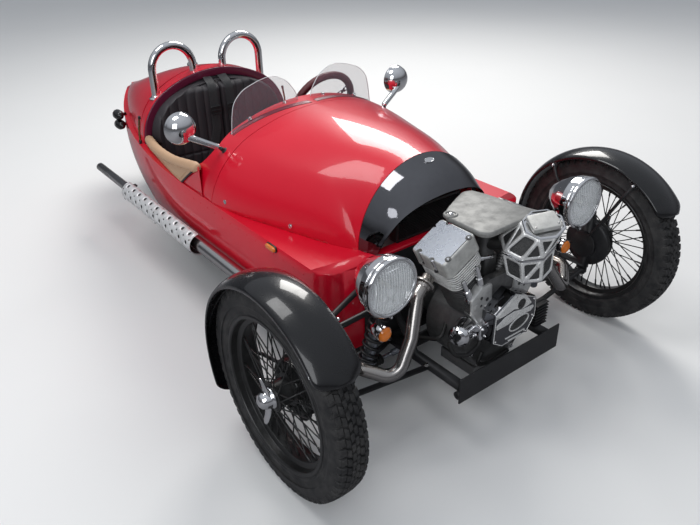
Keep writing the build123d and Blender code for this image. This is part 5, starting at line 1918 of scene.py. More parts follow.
@dataclass
class WireWheel:
    """Front wire wheel, made on the car's left and mirrored."""

    centre: Point = FRONT_WHEEL
    rim_half: float = 49.0
    flange: float = 255.0
    bead: float = 244.0
    well: float = 226.0
    hub_start: float = -40.0
    hub_end: float = 48.0
    tip: float = 95.0
    ear: float = 84.0
    spokes: int = 24

    def build(self) -> None:
        """Both wheels."""
        rim, spokes, bright, drum = self.rim(), self.lacing(), self.spinner(), self.hub()
        for side, body in (("left", Body.FRONT_LEFT), ("right", Body.FRONT_RIGHT)):
            make(f"rim_{side}", rim.on(side), WHEEL_BLACK, body, hides=(f"wheel_front_{side}",))
            make(f"spokes_{side}", spokes.on(side), WHEEL_BLACK, body)
            make(f"hub_{side}", drum.on(side), WHEEL_BLACK, body)
            make(f"spinner_{side}", bright.on(side), CHROME, body)

    def rim(self) -> Shape:
        """Rolled rim: flanges with beaded edges, bead seats and a dropped centre.

        Returns:
            The rim.
        """
        h, f, b, w = self.rim_half, self.flange, self.bead, self.well
        rows = (
            (-h, f - 3), (-h + 2, f), (-h + 4.5, f - 1), (-h + 5, b + 4), (-h + 8, b),
            (-h * 0.5, b - 2), (-h * 0.36, w),
            (h * 0.36, w), (h * 0.5, b - 2), (h - 8, b), (h - 5, b + 4), (h - 4.5, f - 1),
            (h - 2, f), (h, f - 3),
            (h, b - 1), (h - 4, b - 4), (h * 0.5, b - 6), (h * 0.4, w - 4.5), (-h * 0.4, w - 4.5),
            (-h * 0.5, b - 6), (-h + 4, b - 4), (-h, b - 1),
        )
        return lathe(fillet(rows, 2.5, 3, closed=True), self.centre, (1, 0, 0), 128, closed=True)

    def lacing(self) -> Shape:
        """Crossed spokes with nipples: each row leans one way from its flange to the rim.

        A spoke's start lies on the hub's flange circle at angle a; its end on the rim's well at a
        plus the row's lead.

        Returns:
            The spokes and their nipples.
        """
        cx, cy, cz = self.centre
        shape = Shape()
        flange_x = self.hub_start + 28
        rows = (
            (flange_x + 1, 48, -12, 30), (flange_x + 4, 48, -4, -30),
            (self.hub_end - 4, 41, 5, 30), (self.hub_end - 1, 41, 13, -30),
        )
        for row, (hub_x, hub_r, rim_x, lead) in enumerate(rows):
            angle = (np.arange(self.spokes // 2) + row / 4) * 4 * math.pi / self.spokes
            far = angle + math.radians(lead)
            start = np.stack(
                (
                    np.full_like(angle, cx + hub_x), cy + hub_r * np.cos(angle),
                    cz + hub_r * np.sin(angle)
                ),
                -1
            )
            reach = self.well - 3
            end = np.stack(
                (
                    np.full_like(angle, cx + rim_x), cy + reach * np.cos(far),
                    cz + reach * np.sin(far)
                ),
                -1
            )
            length = float(np.linalg.norm(end[0] - start[0]))
            profile = (
                (0, 0), (0, 3.4), (2.5, 3.4), (4, 2.1), (length - 26, 2.1), (length - 24, 3.3),
                (length - 6, 3.6), (length, 3.0), (length, 0)
            )
            spoke = lathe(profile, (0, 0, 0), (0, 0, 1), 10)
            axes = np.stack([basis(d) for d in end - start])
            shape.stamp(spoke, start, axes)
        return shape

    def hub(self) -> Shape:
        """Finned drum, barrel and flanges.

        Returns:
            The hub with its drum.
        """
        s, e = self.hub_start, self.hub_end
        fins = []
        for index in range(4):
            at = s + 3 + index * 5.5
            fins += [(at, 84), (at, 90), (at + 2.4, 90), (at + 2.4, 84)]
        rows = [(s, 16), (s, 84)] + fins + [
            (s + 24, 84), (s + 25, 56), (s + 28, 54), (s + 33, 54), (s + 36, 42), (e - 12, 40),
            (e - 6, 47), (e, 47), (e + 1, 40), (e + 1, 16),
        ]
        shape = lathe(rows, self.centre, (1, 0, 0), 64, closed=True)
        cx, cy, cz = self.centre
        angle = np.arange(8) * math.pi / 4
        spots = np.stack(
            (np.full(8, cx + s + 24.5), cy + 70 * np.cos(angle), cz + 70 * np.sin(angle)), -1
        )
        return shape.stamp(bolt(5, 5), spots, basis((1, 0, 0)))

    def spinner(self) -> Shape:
        """Two eared spinner: a domed cap and ears swept outwards to their tips.

        An ear is a flattened tube: its centre line rises from the cap to the tip, and its width
        and thickness taper along it.

        Returns:
            The spinner.
        """
        cx, cy, cz = self.centre
        e = self.hub_end
        cap = (
            (e, 0), (e, 34), (e + 5, 36), (e + 9, 34), (e + 14, 30), (self.tip - 18, 27),
            (self.tip - 8, 22), (self.tip - 2, 13), (self.tip, 0)
        )
        shape = lathe(fillet(cap, 3, 3), self.centre, (1, 0, 0), 48)
        t = np.linspace(0, 1, 26)
        for sign in (-1, 1):
            z = sign * (18 + (self.ear - 18) * t)
            x = e + 16 + 15 * t**1.6
            y = sign * 5 * np.sin(t * math.pi)
            line = np.stack((cx + x, cy + y, cz + z), -1)
            taper = np.sqrt(np.clip(1 - t**5, 0.02, 1)) * (1 - 0.35 * np.sin(t * math.pi * 0.8))
            outline = circle(1.0, 20)
            wide = outline * (7.5, 21)
            shape.add(tube(line, taper, section=wide, up=(0, 1, 0)))
        return shape


@dataclass
class Mudguards:
    """Cycle wings that steer with the wheels."""

    centre: Point = FRONT_WHEEL
    crown: float = 376.0
    edge: float = 354.0
    half: float = 76.0
    front: float = 35.0
    rear: float = 210.0
    stay_x: float = 679.0
    stay_angles: Sequence[float] = (62, 125, 195)

    def build(self) -> None:
        """Both guards with their stays."""
        sheet, stays, nuts = self.sheet(), self.stays(), self.nuts()
        for side, body in (("left", Body.KNUCKLE_LEFT), ("right", Body.KNUCKLE_RIGHT)):
            make(
                f"guard_{side}", sheet.on(side), BLACK, body, hides=(f"mudguard_{side}",), wall=2.4,
                crease=60
            )
            make(f"guard_stays_{side}", stays.on(side), SATIN, body)
            make(f"guard_nuts_{side}", nuts.on(side), CHROME, body)

    def polar(self, x: np.ndarray, radius: np.ndarray, angle: np.ndarray) -> np.ndarray:
        """Points from offset across, radius, and angle up from the front."""
        cx, cy, cz = self.centre
        return np.stack((cx + x, cy - radius * np.cos(angle), cz + radius * np.sin(angle)), -1)

    def sheet(self) -> Shape:
        """Domed sheet with rolled lips; its ends are rounded in plan.

        At angle a and width s from -1 to 1 the radius is the edge's plus a rise that falls off
        as 1 - s squared to the power 0.8; past the edge it turns down into the lip.

        Returns:
            The sheet, closed at its lips.
        """
        angle = np.radians(np.linspace(self.front, self.rear, 120))
        s = np.concatenate(((-1.0, -1.0, -0.995), np.linspace(-0.97, 0.97, 33), (0.995, 1.0, 1.0)))
        drop = np.zeros_like(s)
        drop[[0, -1]], drop[[1, -2]], drop[[2, -3]] = 9.0, 4.0, 1.0
        from_end = np.minimum(angle - angle[0], angle[-1] - angle) * self.crown
        round_off = np.clip(from_end / 42, 0, 1)
        width = self.half * np.sqrt(1 - (1 - round_off) ** 2 * 0.75)
        grid_angle, grid_s = np.meshgrid(angle, s, indexing="ij")
        radius = self.edge + (self.crown - self.edge) * (1 - grid_s**2) ** 0.8 - drop[None, :]
        points = self.polar(grid_s * width[:, None], radius, grid_angle)
        return Shape().surface(points, away=self.centre)

    def stays(self) -> Shape:
        """Round stays from the carrier plate to the guard, flattened under their nuts.

        Returns:
            The stays and their plate.
        """
        shape = Shape()
        for degrees in self.stay_angles:
            a = np.array(math.radians(degrees))
            root = self.polar(np.array(self.stay_x - self.centre[0]), np.array(44.0), a)
            knee = self.polar(
                np.array(self.stay_x - self.centre[0] - 2), np.array(self.edge - 60.0), a
            )
            tip = self.polar(
                np.array(self.stay_x - self.centre[0] + 14), np.array(self.edge - 2.0), a
            )
            shape.add(tube(fillet((root, knee, tip), 60, 6), 6.5, 16))
            inner = self.polar(np.array(-self.half + 3.0), np.array(self.edge - 14.0), a)
            shape.add(soft_slab(round_rectangle(26, 30, 8), 5, 1.2, inner - (2, 0, 0), (1, 0, 0)))
        cy, cz = self.centre[1:]
        plate = ((0, 0), (0, 52), (2, 55), (12, 55), (13, 52), (13, 0))
        shape.add(lathe(plate, (self.stay_x - 6, cy, cz), (1, 0, 0), 40))
        return shape

    def nuts(self) -> Shape:
        """Acorn nuts at the stays' ends.

        Returns:
            The nuts.
        """
        shape = Shape()
        for degrees in self.stay_angles:
            a = np.array(math.radians(degrees))
            at = self.polar(np.array(-self.half + 0.5), np.array(self.edge - 12.0), a)
            shape.stamp(dome_nut(7, 14), [at], basis((-1, 0, 0))[None])
        return shape


@dataclass
class FrontAxle:
    """Tubular frame, links, springs, rack and uprights."""

    damper_top: Point = (345.0, FRONT_AXLE_Y + 40.0, 478.0)
    damper_foot: Point = (440.0, FRONT_AXLE_Y + 40.0, 218.0)

    def build(self) -> None:
        """Dresses the frame and builds springs, bellows and bolts."""
        dress("front_frame", SATIN)
        dress("wishbones", SATIN)
        dress("knuckle_left", SATIN)
        dress("knuckle_right", SATIN)
        dress("steering_rack", SATIN_ALLOY)
        self.springs()
        self.bellows()
        self.bolts()

    def springs(self) -> None:
        """Coil springs over dampers with collars.

        The coil's centre line is a helix round the damper: radius times (cos, sin) of the turn,
        rising evenly, with half a turn closed flat at each end.
        """
        start, end = np.array(self.damper_foot), np.array(self.damper_top)
        side, up, run = basis(end - start)
        length = float(np.linalg.norm(end - start))
        body = (
            (0, 0), (0, 14), (12, 16), (40, 20), (46, 33), (52, 33), (54, 22), (length * 0.62, 22),
            (length * 0.63, 9), (length - 40, 9), (length - 38, 33), (length - 30, 33),
            (length - 26, 16), (length - 6, 14), (length, 0)
        )
        damper = lathe(body, start, end - start, 32)
        make(
            "damper_bodies", damper.both(), SATIN_ALLOY,
            hides=("front_dampers",)
        )
        turns = 7.5
        t = np.linspace(0, turns * 2 * math.pi, 220)
        rise = 55 + (length - 97) * np.clip((t - 2) / (turns * 2 * math.pi - 4), 0, 1)
        line = start + rise[:, None] * run + 28 * (
            np.cos(t)[:, None] * side + np.sin(t)[:, None] * up
        )
        coil = tube(line, 4.6, 12, up=run)
        make("front_springs", coil.both(), SATIN)

    def bellows(self) -> None:
        """Rubber bellows over the rack's ends: the radius waves between two values."""
        at = np.linspace(0, 58, 60)
        radius = 15 + 3.5 * np.cos(at / 58 * 2 * math.pi * 5) + 2 * (1 - at / 58)
        rows = [(0, 6)] + list(zip(at, radius)) + [(58, 6)]
        shape = lathe(rows, (305, place(110), 170), (1, 0, 0), 28)
        make("rack_bellows", shape.both(), HOSE, Body.RACK)

    def bolts(self) -> None:
        """Bolt heads and nuts at the links' pivots."""
        shape = Shape()
        for x, y, z in ((361, 14, 478), (361, 140, 478), (245, -60, 205), (245, 135, 205)):
            shape.stamp(bolt(8, 7), [(x, place(y), z + 10)], basis((0, 0, 1))[None])
        for z, sign in ((487, 1), (200, -1)):
            shape.stamp(bolt(11, 9), [(700, place(0), z)], basis((0, 0, sign))[None])
        make("link_bolts", shape.both(), STEEL)


@dataclass
class Bank:
    """One cylinder, built on the car's left in its own axes: u back along the car, v inboard, w up
    the bore."""

    engine_y: float = FRONT_AXLE_Y - 57.0
    crank_z: float = 300.0
    lean: float = math.radians(28)
    deck: float = 132.0
    lower_head: float = 264.0
    head: float = 306.0
    cover: float = 352.0
    top: float = 418.0
    head_u: float = 151.0
    head_v: float = 148.0
    groove: float = -64.0
    screws: Rows = ((74, 34), (36, 70), (-18, -72), (42, -66), (-66, 55), (-66, -46))
    bites: int = 4

    def frame(self) -> tuple[np.ndarray, np.ndarray]:
        """Origin and axes (u, v, w) of the bank.

        Returns:
            The origin, and an array whose rows are the axes.
        """
        origin = np.array((0.0, self.engine_y, self.crank_z))
        w = np.array((math.sin(self.lean), 0.0, math.cos(self.lean)))
        u = np.array((0.0, 1.0, 0.0))
        return origin, np.stack((u, np.cross(w, u), w))

    def placed(self, local: Shape) -> Shape:
        """A shape given in bank axes, moved to the car's."""
        origin, axes = self.frame()
        return Shape().stamp(local, [origin], axes[None])

    def at(self, *local: float) -> np.ndarray:
        """A point given in bank axes, in the car's."""
        origin, axes = self.frame()
        return origin + np.array(local) @ axes

    def block(self, outline: np.ndarray, levels: Rows) -> Shape:
        """An outline in u and v, repeated at levels up the bore."""
        return slab(outline, levels, (0, 0, 0), (0, 0, 1), hint=(0, 1, 0))

    def stack(
        self, outline: np.ndarray, start: float, count: int, pitch: float, thick: float
    ) -> Shape:
        """Fins: one outline repeated up the bore, each with thinned edges.

        Args:
            outline: outline of one fin.
            start: height of the lowest.
            count: number of fins.
            pitch: distance from one to the next.
            thick: thickness of one.

        Returns:
            The fins.
        """
        fin = self.block(outline, ((0, 0.8), (thick * 0.3, 0), (thick * 0.7, 0), (thick, 0.8)))
        centres = [(0, 0, start + index * pitch) for index in range(count)]
        return Shape().stamp(fin, centres, np.eye(3)[None])

    def barrel(self) -> Shape:
        """Round barrel with cooling fins.

        Returns:
            The barrel.
        """
        rows = (
            (self.deck - 4, 0), (self.deck - 4, 60), (self.deck + 6, 60), (self.deck + 7, 54),
            (self.lower_head, 54), (self.lower_head, 0)
        )
        shape = lathe(rows, (0, 0, 0), (0, 0, 1), 48)
        return self.placed(
            shape.add(self.stack(round_rectangle(132, 131, 50, 8), self.deck + 10, 13, 9.4, 3.2))
        )

    def head_block(self) -> Shape:
        """Bright machined edges of the fins, wide ones under the cover and narrower ones below.

        Returns:
            The edges.
        """
        edges = Shape()
        for outline, start, count, pitch in self.fin_rows():
            for index in range(count):
                base = start + index * pitch
                rows = ((0, base), (0, base + 3.8), (3, base + 3.8), (3, base))
                edges.surface(
                    np.stack(
                        [
                            np.column_stack((inward(outline, inset), np.full(len(outline), at)))
                            for inset, at in rows
                        ]
                    ),
                    wrap=True, loop=True
                )
        return self.placed(edges)

    def fin_rows(self) -> tuple[tuple[np.ndarray, float, int, float], ...]:
        """Outline, first height, number and pitch of the narrow and the wide fins."""
        narrow, wide = round_rectangle(140, 136, 36, 8), round_rectangle(156, 150, 38, 8)
        return (narrow, self.lower_head + 4, 4, 9.6), (wide, self.head + 0.5, 5, 9.6)

    def head_core(self) -> Shape:
        """The dark casting between the head's bright edges, with the fins' dark faces.

        Returns:
            The core.
        """
        core = self.block(round_rectangle(121, 118, 16), ((self.lower_head, 0), (self.cover, 0)))
        for outline, start, count, pitch in self.fin_rows():
            core.add(self.stack(inward(outline, 1.5), start + 0.5, count, pitch, 2.2))
        return self.placed(core)

    def notched(self, inset: float) -> np.ndarray:
        """Outline of the cover, moved in, with a round bite at each screw.

        A point of the plain outline whose place along the edge is t from a screw, less than the
        bite's radius r, moves in to the far side of the circle, sqrt(r * r - t * t) past it.

        Args:
            inset: how far the outline stands inside the cover's edge.

        Returns:
            Rows of the outline.
        """
        plain = inward(round_rectangle(self.head_u - 1, self.head_v - 1, 14, 8), inset)
        ring = np.concatenate((plain, plain[:1]))
        far = np.concatenate(([0], np.cumsum(np.linalg.norm(np.diff(ring, axis=0), axis=1))))
        even = np.linspace(0, far[-1], 361)[:-1]
        points = np.stack((np.interp(even, far, ring[:, 0]), np.interp(even, far, ring[:, 1])), 1)
        run = unit(np.roll(points, -1, 0) - np.roll(points, 1, 0))
        outward = np.stack((run[:, 1], -run[:, 0]), 1)
        for screw in self.screws[: self.bites]:
            away = points - screw
            t, n = (away * run).sum(1), (away * outward).sum(1)
            bite = (np.abs(t) < 10.5) & (np.abs(n) < 24)
            depth = np.where(bite, n + np.sqrt(np.maximum(110.25 - t**2, 0)), 0)
            points = points - depth[:, None] * outward
        return points

    def rocker_cover(self) -> Shape:
        """Cast cover: flange, upright sides notched for the screws, and a soft upper edge.

        Returns:
            The cover.
        """
        flange = round_rectangle(self.head_u, self.head_v, 16, 6)
        base = self.block(
            flange,
            ((self.cover, 0.5), (self.cover + 1, 0), (self.cover + 8.5, 0), (self.cover + 10, 1.5))
        )
        rows = []
        for height, inset in (
            (self.cover + 9, 0.5), (self.top - 7, 0.8), (self.top - 3, 1.8), (self.top - 1, 3.6),
            (self.top, 6.5)
        ):
            ring = self.notched(inset)
            rows.append(np.column_stack((ring, np.full(len(ring), height))))
        return self.placed(base.add(Shape().surface(np.stack(rows), wrap=True, caps=True)))

    def polished_top(self) -> Shape:
        """The part of the cover's top that is polished, behind a groove near its front.

        Returns:
            The top plate.
        """
        ring = self.notched(5.5)
        kept = ring[:, 0] > self.groove
        start = int(np.flatnonzero(kept & ~np.roll(kept, 1))[0])
        ring = np.roll(ring, -start, 0)[: int(kept.sum())]
        ends = np.array(((self.groove, ring[-1, 1]), (self.groove, ring[0, 1])))
        return self.placed(
            self.block(np.concatenate((ring, ends)), ((self.top - 0.5, 0), (self.top + 0.4, 0)))
        )

    def screw_heads(self) -> tuple[Shape, Shape]:
        """Dark discs of painted shade in the notches and round the top screws, a socket head on
        each screw, and a dark line of painted shade for the groove.

        Returns:
            The painted shade discs and the heads.
        """
        shade_discs, heads = Shape(), Shape()
        for u, v in self.screws[self.bites:]:
            shade_discs.add(
                lathe(
                    ((0, 0), (0, 11), (1.2, 10.5), (1.2, 0)), (u * 0.98, v * 0.96, self.top - 0.2),
                    (0, 0, 1), 24
                )
            )
            heads.add(
                lathe(
                    ((0, 0), (0, 5.2), (2.8, 4.8), (3.4, 4.0), (3.4, 2.4), (1.4, 2.2), (1.4, 0)),
                    (u * 0.98, v * 0.96, self.top), (0, 0, 1), 18
                )
            )
        for u, v in self.screws[: self.bites]:
            shade_discs.add(
                lathe(
                    ((0, 0), (0, 9.6), (0.8, 9.6), (0.8, 0)),
                    (u * 0.985, v * 0.97, self.cover + 9.8), (0, 0, 1), 24
                )
            )
            socket = (
                (-44, 0), (-44, 5.6), (0, 5.6), (1.4, 4.8), (1.4, 2.8), (-2.5, 2.6), (-2.5, 0)
            )
            heads.add(lathe(socket, (u * 0.98, v * 0.96, self.top - 8), (0, 0, 1), 18))
        line = round_rectangle(2.6, 96, 1.2, 2) + (self.groove - 1.5, 4.5)
        shade_discs.add(self.block(line, ((self.top - 0.2, 0), (self.top + 0.25, 0))))
        return self.placed(shade_discs), self.placed(heads)

    def plug(self) -> Shape:
        """Spark plug at the head's front inboard corner.

        Returns:
            The plug.
        """
        start, end = self.at(-58, 62, 300), self.at(-74, 104, 276)
        run = float(np.linalg.norm(end - start))
        rows = (
            (0, 0), (0, 9), (12, 9), (13, 6), (run - 14, 5.4), (run - 13, 7.5), (run - 1, 6.5),
            (run, 0)
        )
        return lathe(rows, start, end - start, 20)

    def pushrods(self) -> Shape:
        """Two bright tubes in front of the barrel, thicker at the foot.

        Returns:
            The tubes.
        """
        shape = Shape()
        for foot, head in ((8, 30), (-43, -38)):
            low, high = self.at(-80, foot, 196), self.at(-80, head, self.head + 4)
            run = float(np.linalg.norm(high - low))
            rows = (
                (0, 0), (0, 15), (24, 15), (28, 12), (run * 0.58, 12), (run * 0.6, 8), (run, 8),
                (run, 0)
            )
            shape.add(lathe(fillet(rows, 1.0, 2), low, high - low, 24))
        return shape


@dataclass
class Engine:
    """Crankcase, both cylinders, covers, air cleaner, intake plate and what hangs on them."""

    bank: Bank = field(default_factory=Bank)
    front_y: float = FRONT_AXLE_Y - 150.0

    def build(self) -> None:
        """Builds and dresses the whole engine."""
        dress("crankcase", DARK_ALLOY, bevel=1.2)
        make("barrels", self.bank.barrel().both(), DARK_ALLOY, hides=("cylinders",))
        make("heads", self.bank.head_block().both(), FIN)
        make("head_cores", self.bank.head_core().both(), SATIN)
        make("rocker_bodies", self.bank.rocker_cover().both(), CAST, hides=("rocker_covers",))
        make("rocker_tops", self.bank.polished_top().both(), SATIN_ALLOY)
        shade_discs, heads = self.bank.screw_heads()
        # Dark discs and a dark line: painted shade in the covers' notches, round their top screws
        # and in their grooves.
        make("cover_painted_shade", shade_discs.both(), GAUZE_AND_SHADE)
        make("cover_screws", heads.both(), CHROME)
        bright = self.bank.pushrods().add(self.bank.plug())
        make("pushrod_covers", bright.both(), CHROME, hides=("pushrod_tubes",))
        self.case_details()
        self.intake()
        self.cleaner()
        self.gearcase()
        self.lower_parts()
        self.cooler()

    def panel(self, corners: Rows, round_off: float, levels: Rows) -> Shape:
        """A block on the case's front from corners (x, z), levels measured forwards from it."""
        return slab(
            fillet(corners, round_off, 4, closed=True), levels, (0, self.front_y, 0), (0, -1, 0)
        )

    def case_details(self) -> None:
        """Cast lobes round the pushrods' feet, bosses and flange bolts on the crankcase's front."""
        lobe = ((56, 516), (48, 392), (95, 350), (148, 420), (152, 474), (104, 513))
        cast = self.panel(lobe, 16, ((-26, 0), (1, 0), (5, 1.5), (7, 5), (7.6, 9)))
        for x, z in ((78, 428), (128, 446)):
            cast.add(
                lathe(
                    ((0, 0), (0, 14), (9, 12), (10, 9), (10, 0)), (x, self.front_y, z), (0, -1, 0),
                    24
                )
            )
        cast = cast.both()
        angle = np.radians((200, 232, 308, 340, 14, 166))
        spots = np.stack(
            (132 * np.cos(angle), np.full(6, self.front_y + 3), 300 + 132 * np.sin(angle)), -1
        )
        boss = lathe(((-8, 0), (-8, 12), (3, 11), (4, 8), (4, 0)), (0, 0, 0), (0, 0, 1), 20)
        cast.stamp(boss, spots, basis((0, -1, 0)))
        make("case_front", cast, ALLOY)
        bolts = Shape().stamp(bolt(6, 6), spots - (0, 4, 0), basis((0, -1, 0)))
        make("case_bolts", bolts, CHROME)
        # Dark discs on the case's front in place of its holes: painted shade for their depth.
        holes = Shape()
        for x, z, radius in ((107, 474, 6), (79, 460, 7), (106, 444, 5)):
            holes.add(
                lathe(
                    ((0, 0), (0, radius), (8, radius), (8, 0)), (x, self.front_y, z), (0, -1, 0), 20
                )
            )
        make("case_hole_shade", holes.both(), GAUZE_AND_SHADE)

    def intake(self) -> None:
        """Cast plate over the intake: a wide wing with drawn edges and a ringed screw."""
        corners = (
            (143, -160), (146, -146), (131, -90), (117, 46), (101, 104), (66, 117), (12, 94),
            (-56, 62), (-104, 34), (-118, 8), (-119, -165)
        )
        outline = fillet(corners, (6, 6, 30, 60, 16, 30, 60, 60, 24, 16, 38), 8, closed=True)
        levels = ((0, 3), (5, 0.8), (10, 0), (13.5, 1.0), (16, 2.6), (17.4, 4.6), (17.9, 6.2))
        plate = slab(outline, levels, (0, place(0), 690), (0, 0, 1), hint=(0, 1, 0))
        ring = ((-6, 15), (-6, 25), (1.6, 24.5), (4.4, 21.5), (3.4, 17), (0.2, 15))
        plate.add(
            lathe(
                fillet(ring, 1, 2, closed=True), (-96, place(10), 708), (0, 0, 1), 36, closed=True
            )
        )
        make("intake_plate", plate, PLATE, hides=("intake_cover",))
        screws = Shape().stamp(dome_nut(10, 8), [(-96, place(10), 707)], np.eye(3)[None])
        make("intake_screws", screws, CHROME)
        throat = ((540, 0), (540, 34), (560, 36), (600, 30), (680, 30), (690, 36), (690, 0))
        stack = lathe(fillet(throat, 4, 3), (0, self.bank.engine_y, 0), (0, 0, 1), 36)
        legs = soft_slab(
            round_rectangle(60, 80, 14), 130, 4, (0, self.bank.engine_y, 438), (0, 0, 1)
        )
        make("intake_body", stack.add(legs), DARK_ALLOY)

    def cleaner(self) -> None:
        """Air cleaner: an eight sided drum, widest at its belt, each face a frame round gauze.

        A ring's corners lie at centre + radius * (cos a * back + sin a * across); the rings above
        and below the belt have centres of their own. A face's frame runs from its own edges in
        to a window of the same form, drawn in to a share s of its size with its corners rounded:
        window = middle + s * (edge - middle), averaged over neighbouring points. Every other
        face is split into two triangles.
        """
        centre = np.array((48.0, place(-190), 640.0))
        top, foot = centre + (23, -38, 69), centre + (1, -12, -82)
        back, across, up = np.array((0, 1, 0.17)), np.array((-1, 0, -0.25)), unit(
            np.array((-0.25, -0.17, 1.0))
        )
        angle = 1.32 + np.arange(8) * math.pi / 4
        ray = np.cos(angle)[:, None] * back + np.sin(angle)[:, None] * across
        belt_low, belt_high = (centre + height * up + 88 * ray for height in (-5, 5))
        low, high = foot + 77 * ray, top + 67 * ray
        frames, gauze = Shape(), Shape()
        for base, tip in ((belt_low, low), (belt_high, high)):
            for index in range(8):
                after = (index + 1) % 8
                quad = (base[index], base[after], tip[after], tip[index])
                parts = [(quad, 0.74)] if index % 2 == 0 else [
                    ((quad[0], quad[1], quad[3]), 0.62), ((quad[1], quad[2], quad[3]), 0.58)
                ]
                for corners, share in parts:
                    edge = self.edge_points(np.array(corners))
                    middle = edge.mean(0)
                    window = middle + share * (edge - middle)
                    window = sum(np.roll(window, shift, 0) for shift in (-1, 0, 1)) / 3
                    frames.surface(np.stack((edge, window)), wrap=True, away=centre)
                    gauze.fan(
                        window + 3 * unit(centre - middle), middle + 4 * unit(centre - middle),
                        away=centre
                    )
        rings = np.stack(
            [
                centre + h * up + r * ray
                for h, r in ((-6, 82), (-6, 89), (-3, 91), (3, 91), (6, 89), (6, 82))
            ]
        )
        band = Shape().surface(rings, wrap=True, loop=True)
        for middle, sign, rows in (
            (top, 1, ((-2, 61), (-2, 68), (1, 69), (4, 66), (4, 61), (-3, 59), (-3, 6))),
            (foot, -1, ((-2, 71), (-2, 78), (3, 77), (3, 71), (3, 36)))
        ):
            band.add(
                Shape().surface(
                    np.stack([middle + sign * h * up + r * ray for h, r in rows]), wrap=True,
                    caps=True
                )
            )
        neck = (
            (-2, 0), (0, 36), (10, 35), (12, 30), (18, 30), (20, 34), (26, 34), (30, 30), (30, 0)
        )
        band.add(lathe(fillet(neck, 1, 2), foot, foot - centre, 32))
        plate = soft_slab(round_rectangle(92, 72, 9), 16, 2.5, top + 2 * up, up, hint=(0.5, 0.9, 0))
        spots = [
            top + 10 * up + x * unit(np.cross(up, (-0.5, -0.9, 0))) + y * unit(
                np.array((-0.5, -0.9, 0))
            )
            for x in (-36, 36)
            for y in (-26, 26)
        ]
        make("cleaner_cap", plate, CAST)
        make("cleaner_cap_screws", Shape().stamp(dome_nut(4, 5), spots, basis(up)), STEEL)
        make("cleaner_frames", frames, FIELD, hides=("air_cleaner",), wall=4.0, crease=20)
        make("cleaner_bands", band, CHROME, crease=25)
        make("cleaner_gauze", gauze, GAUZE_AND_SHADE, crease=20)
        back_end = rod(centre, (0, self.bank.engine_y, 600), 24, 3)
        make("cleaner_trunk", back_end, HOSE)

    def edge_points(self, corners: np.ndarray) -> np.ndarray:
        """Eight even points on every edge of a face."""
        share = (np.arange(8) / 8)[None, :, None]
        return (
            corners[:, None] * (1 - share) + np.roll(corners, -1, 0)[:, None] * share
        ).reshape(-1, 3)

    def gearcase(self) -> None:
        """Eight sided dark cover: two bright fields, a round and an oval window, two bars."""
        corners = (
            (-97, 430), (-99, 319), (-53, 289), (74, 294), (106, 345), (110, 371), (104, 427),
            (-5, 480)
        )
        shell = self.panel(corners, 7, ((0, 0), (57, 0), (61, 1.2), (64.4, 5), (65, 9)))
        # The shell's own dark finish, in the same dark metal that paints the nose cowl's
        # reflections.
        make("gearcase_shell", shell, DARK_CHROME_AND_REFLECTION, hides=("gearcase_cover",))
        upper = (
            (-93, 414), (-58, 414), (-10, 421), (38, 405), (80, 412), (44, 457), (-5, 474),
            (-92, 427)
        )
        lower = (
            (-88, 371), (-36, 371), (20, 384), (78, 380), (94, 392), (88, 400), (40, 403),
            (-8, 413), (-52, 407), (-91, 388)
        )
        fields = self.panel(upper, 3, ((60, 0), (66.5, 0), (67.5, 1.2)))
        fields.add(self.panel(lower, 3, ((60, 0), (66.5, 0), (67.5, 1.2))))
        for x, z, width in ((10, 315, 98), (10, 301, 66)):
            bar = round_rectangle(width, 5, 2.4, 3) + (x, z)
            fields.add(slab(bar, ((60, 0), (66.4, 0), (67, 0.8)), (0, self.front_y, 0), (0, -1, 0)))
        turn = math.radians(10)
        spin = np.array(((math.cos(turn), math.sin(turn)), (-math.sin(turn), math.cos(turn))))
        oval = (circle(1.0, 44) * (48, 24)) @ spin + (24, 356)
        rings = [
            (inward(oval, inset), height)
            for inset, height in ((-2, 60), (-2, 66.5), (0, 68), (3, 67), (4, 62))
        ]
        grid = np.stack(
            [
                np.column_stack((ring[:, 0], np.full(44, self.front_y - height), ring[:, 1]))
                for ring, height in rings
            ]
        )
        fields.add(Shape().surface(grid, wrap=True, loop=True))
        rim = inward(fillet(corners, 7, 4, closed=True), 4.0)
        line = np.column_stack((rim[:, 0], np.full(len(rim), self.front_y - 63.5), rim[:, 1]))
        fields.add(tube(line, 1.8, 8, closed=True, up=(0, 1, 0)))
        make("gearcase_fields", fields, FIELD)
        dark = slab(inward(oval, 3.5), ((60, 0), (65.6, 0)), (0, self.front_y, 0), (0, -1, 0))
        dark.add(
            slab(circle(19, 28) + (25, 430), ((60, 0), (68.2, 0)), (0, self.front_y, 0), (0, -1, 0))
        )
        make("gearcase_windows", dark, GAUZE_AND_SHADE)
        spots = [
            (x, self.front_y - 64.5, z)
            for x, z in ((-88, 420), (-90, 326), (66, 302), (99, 352), (95, 420), (-5, 466))
        ]
        make("gearcase_screws", Shape().stamp(dome_nut(5, 6), spots, basis((0, -1, 0))), STEEL)

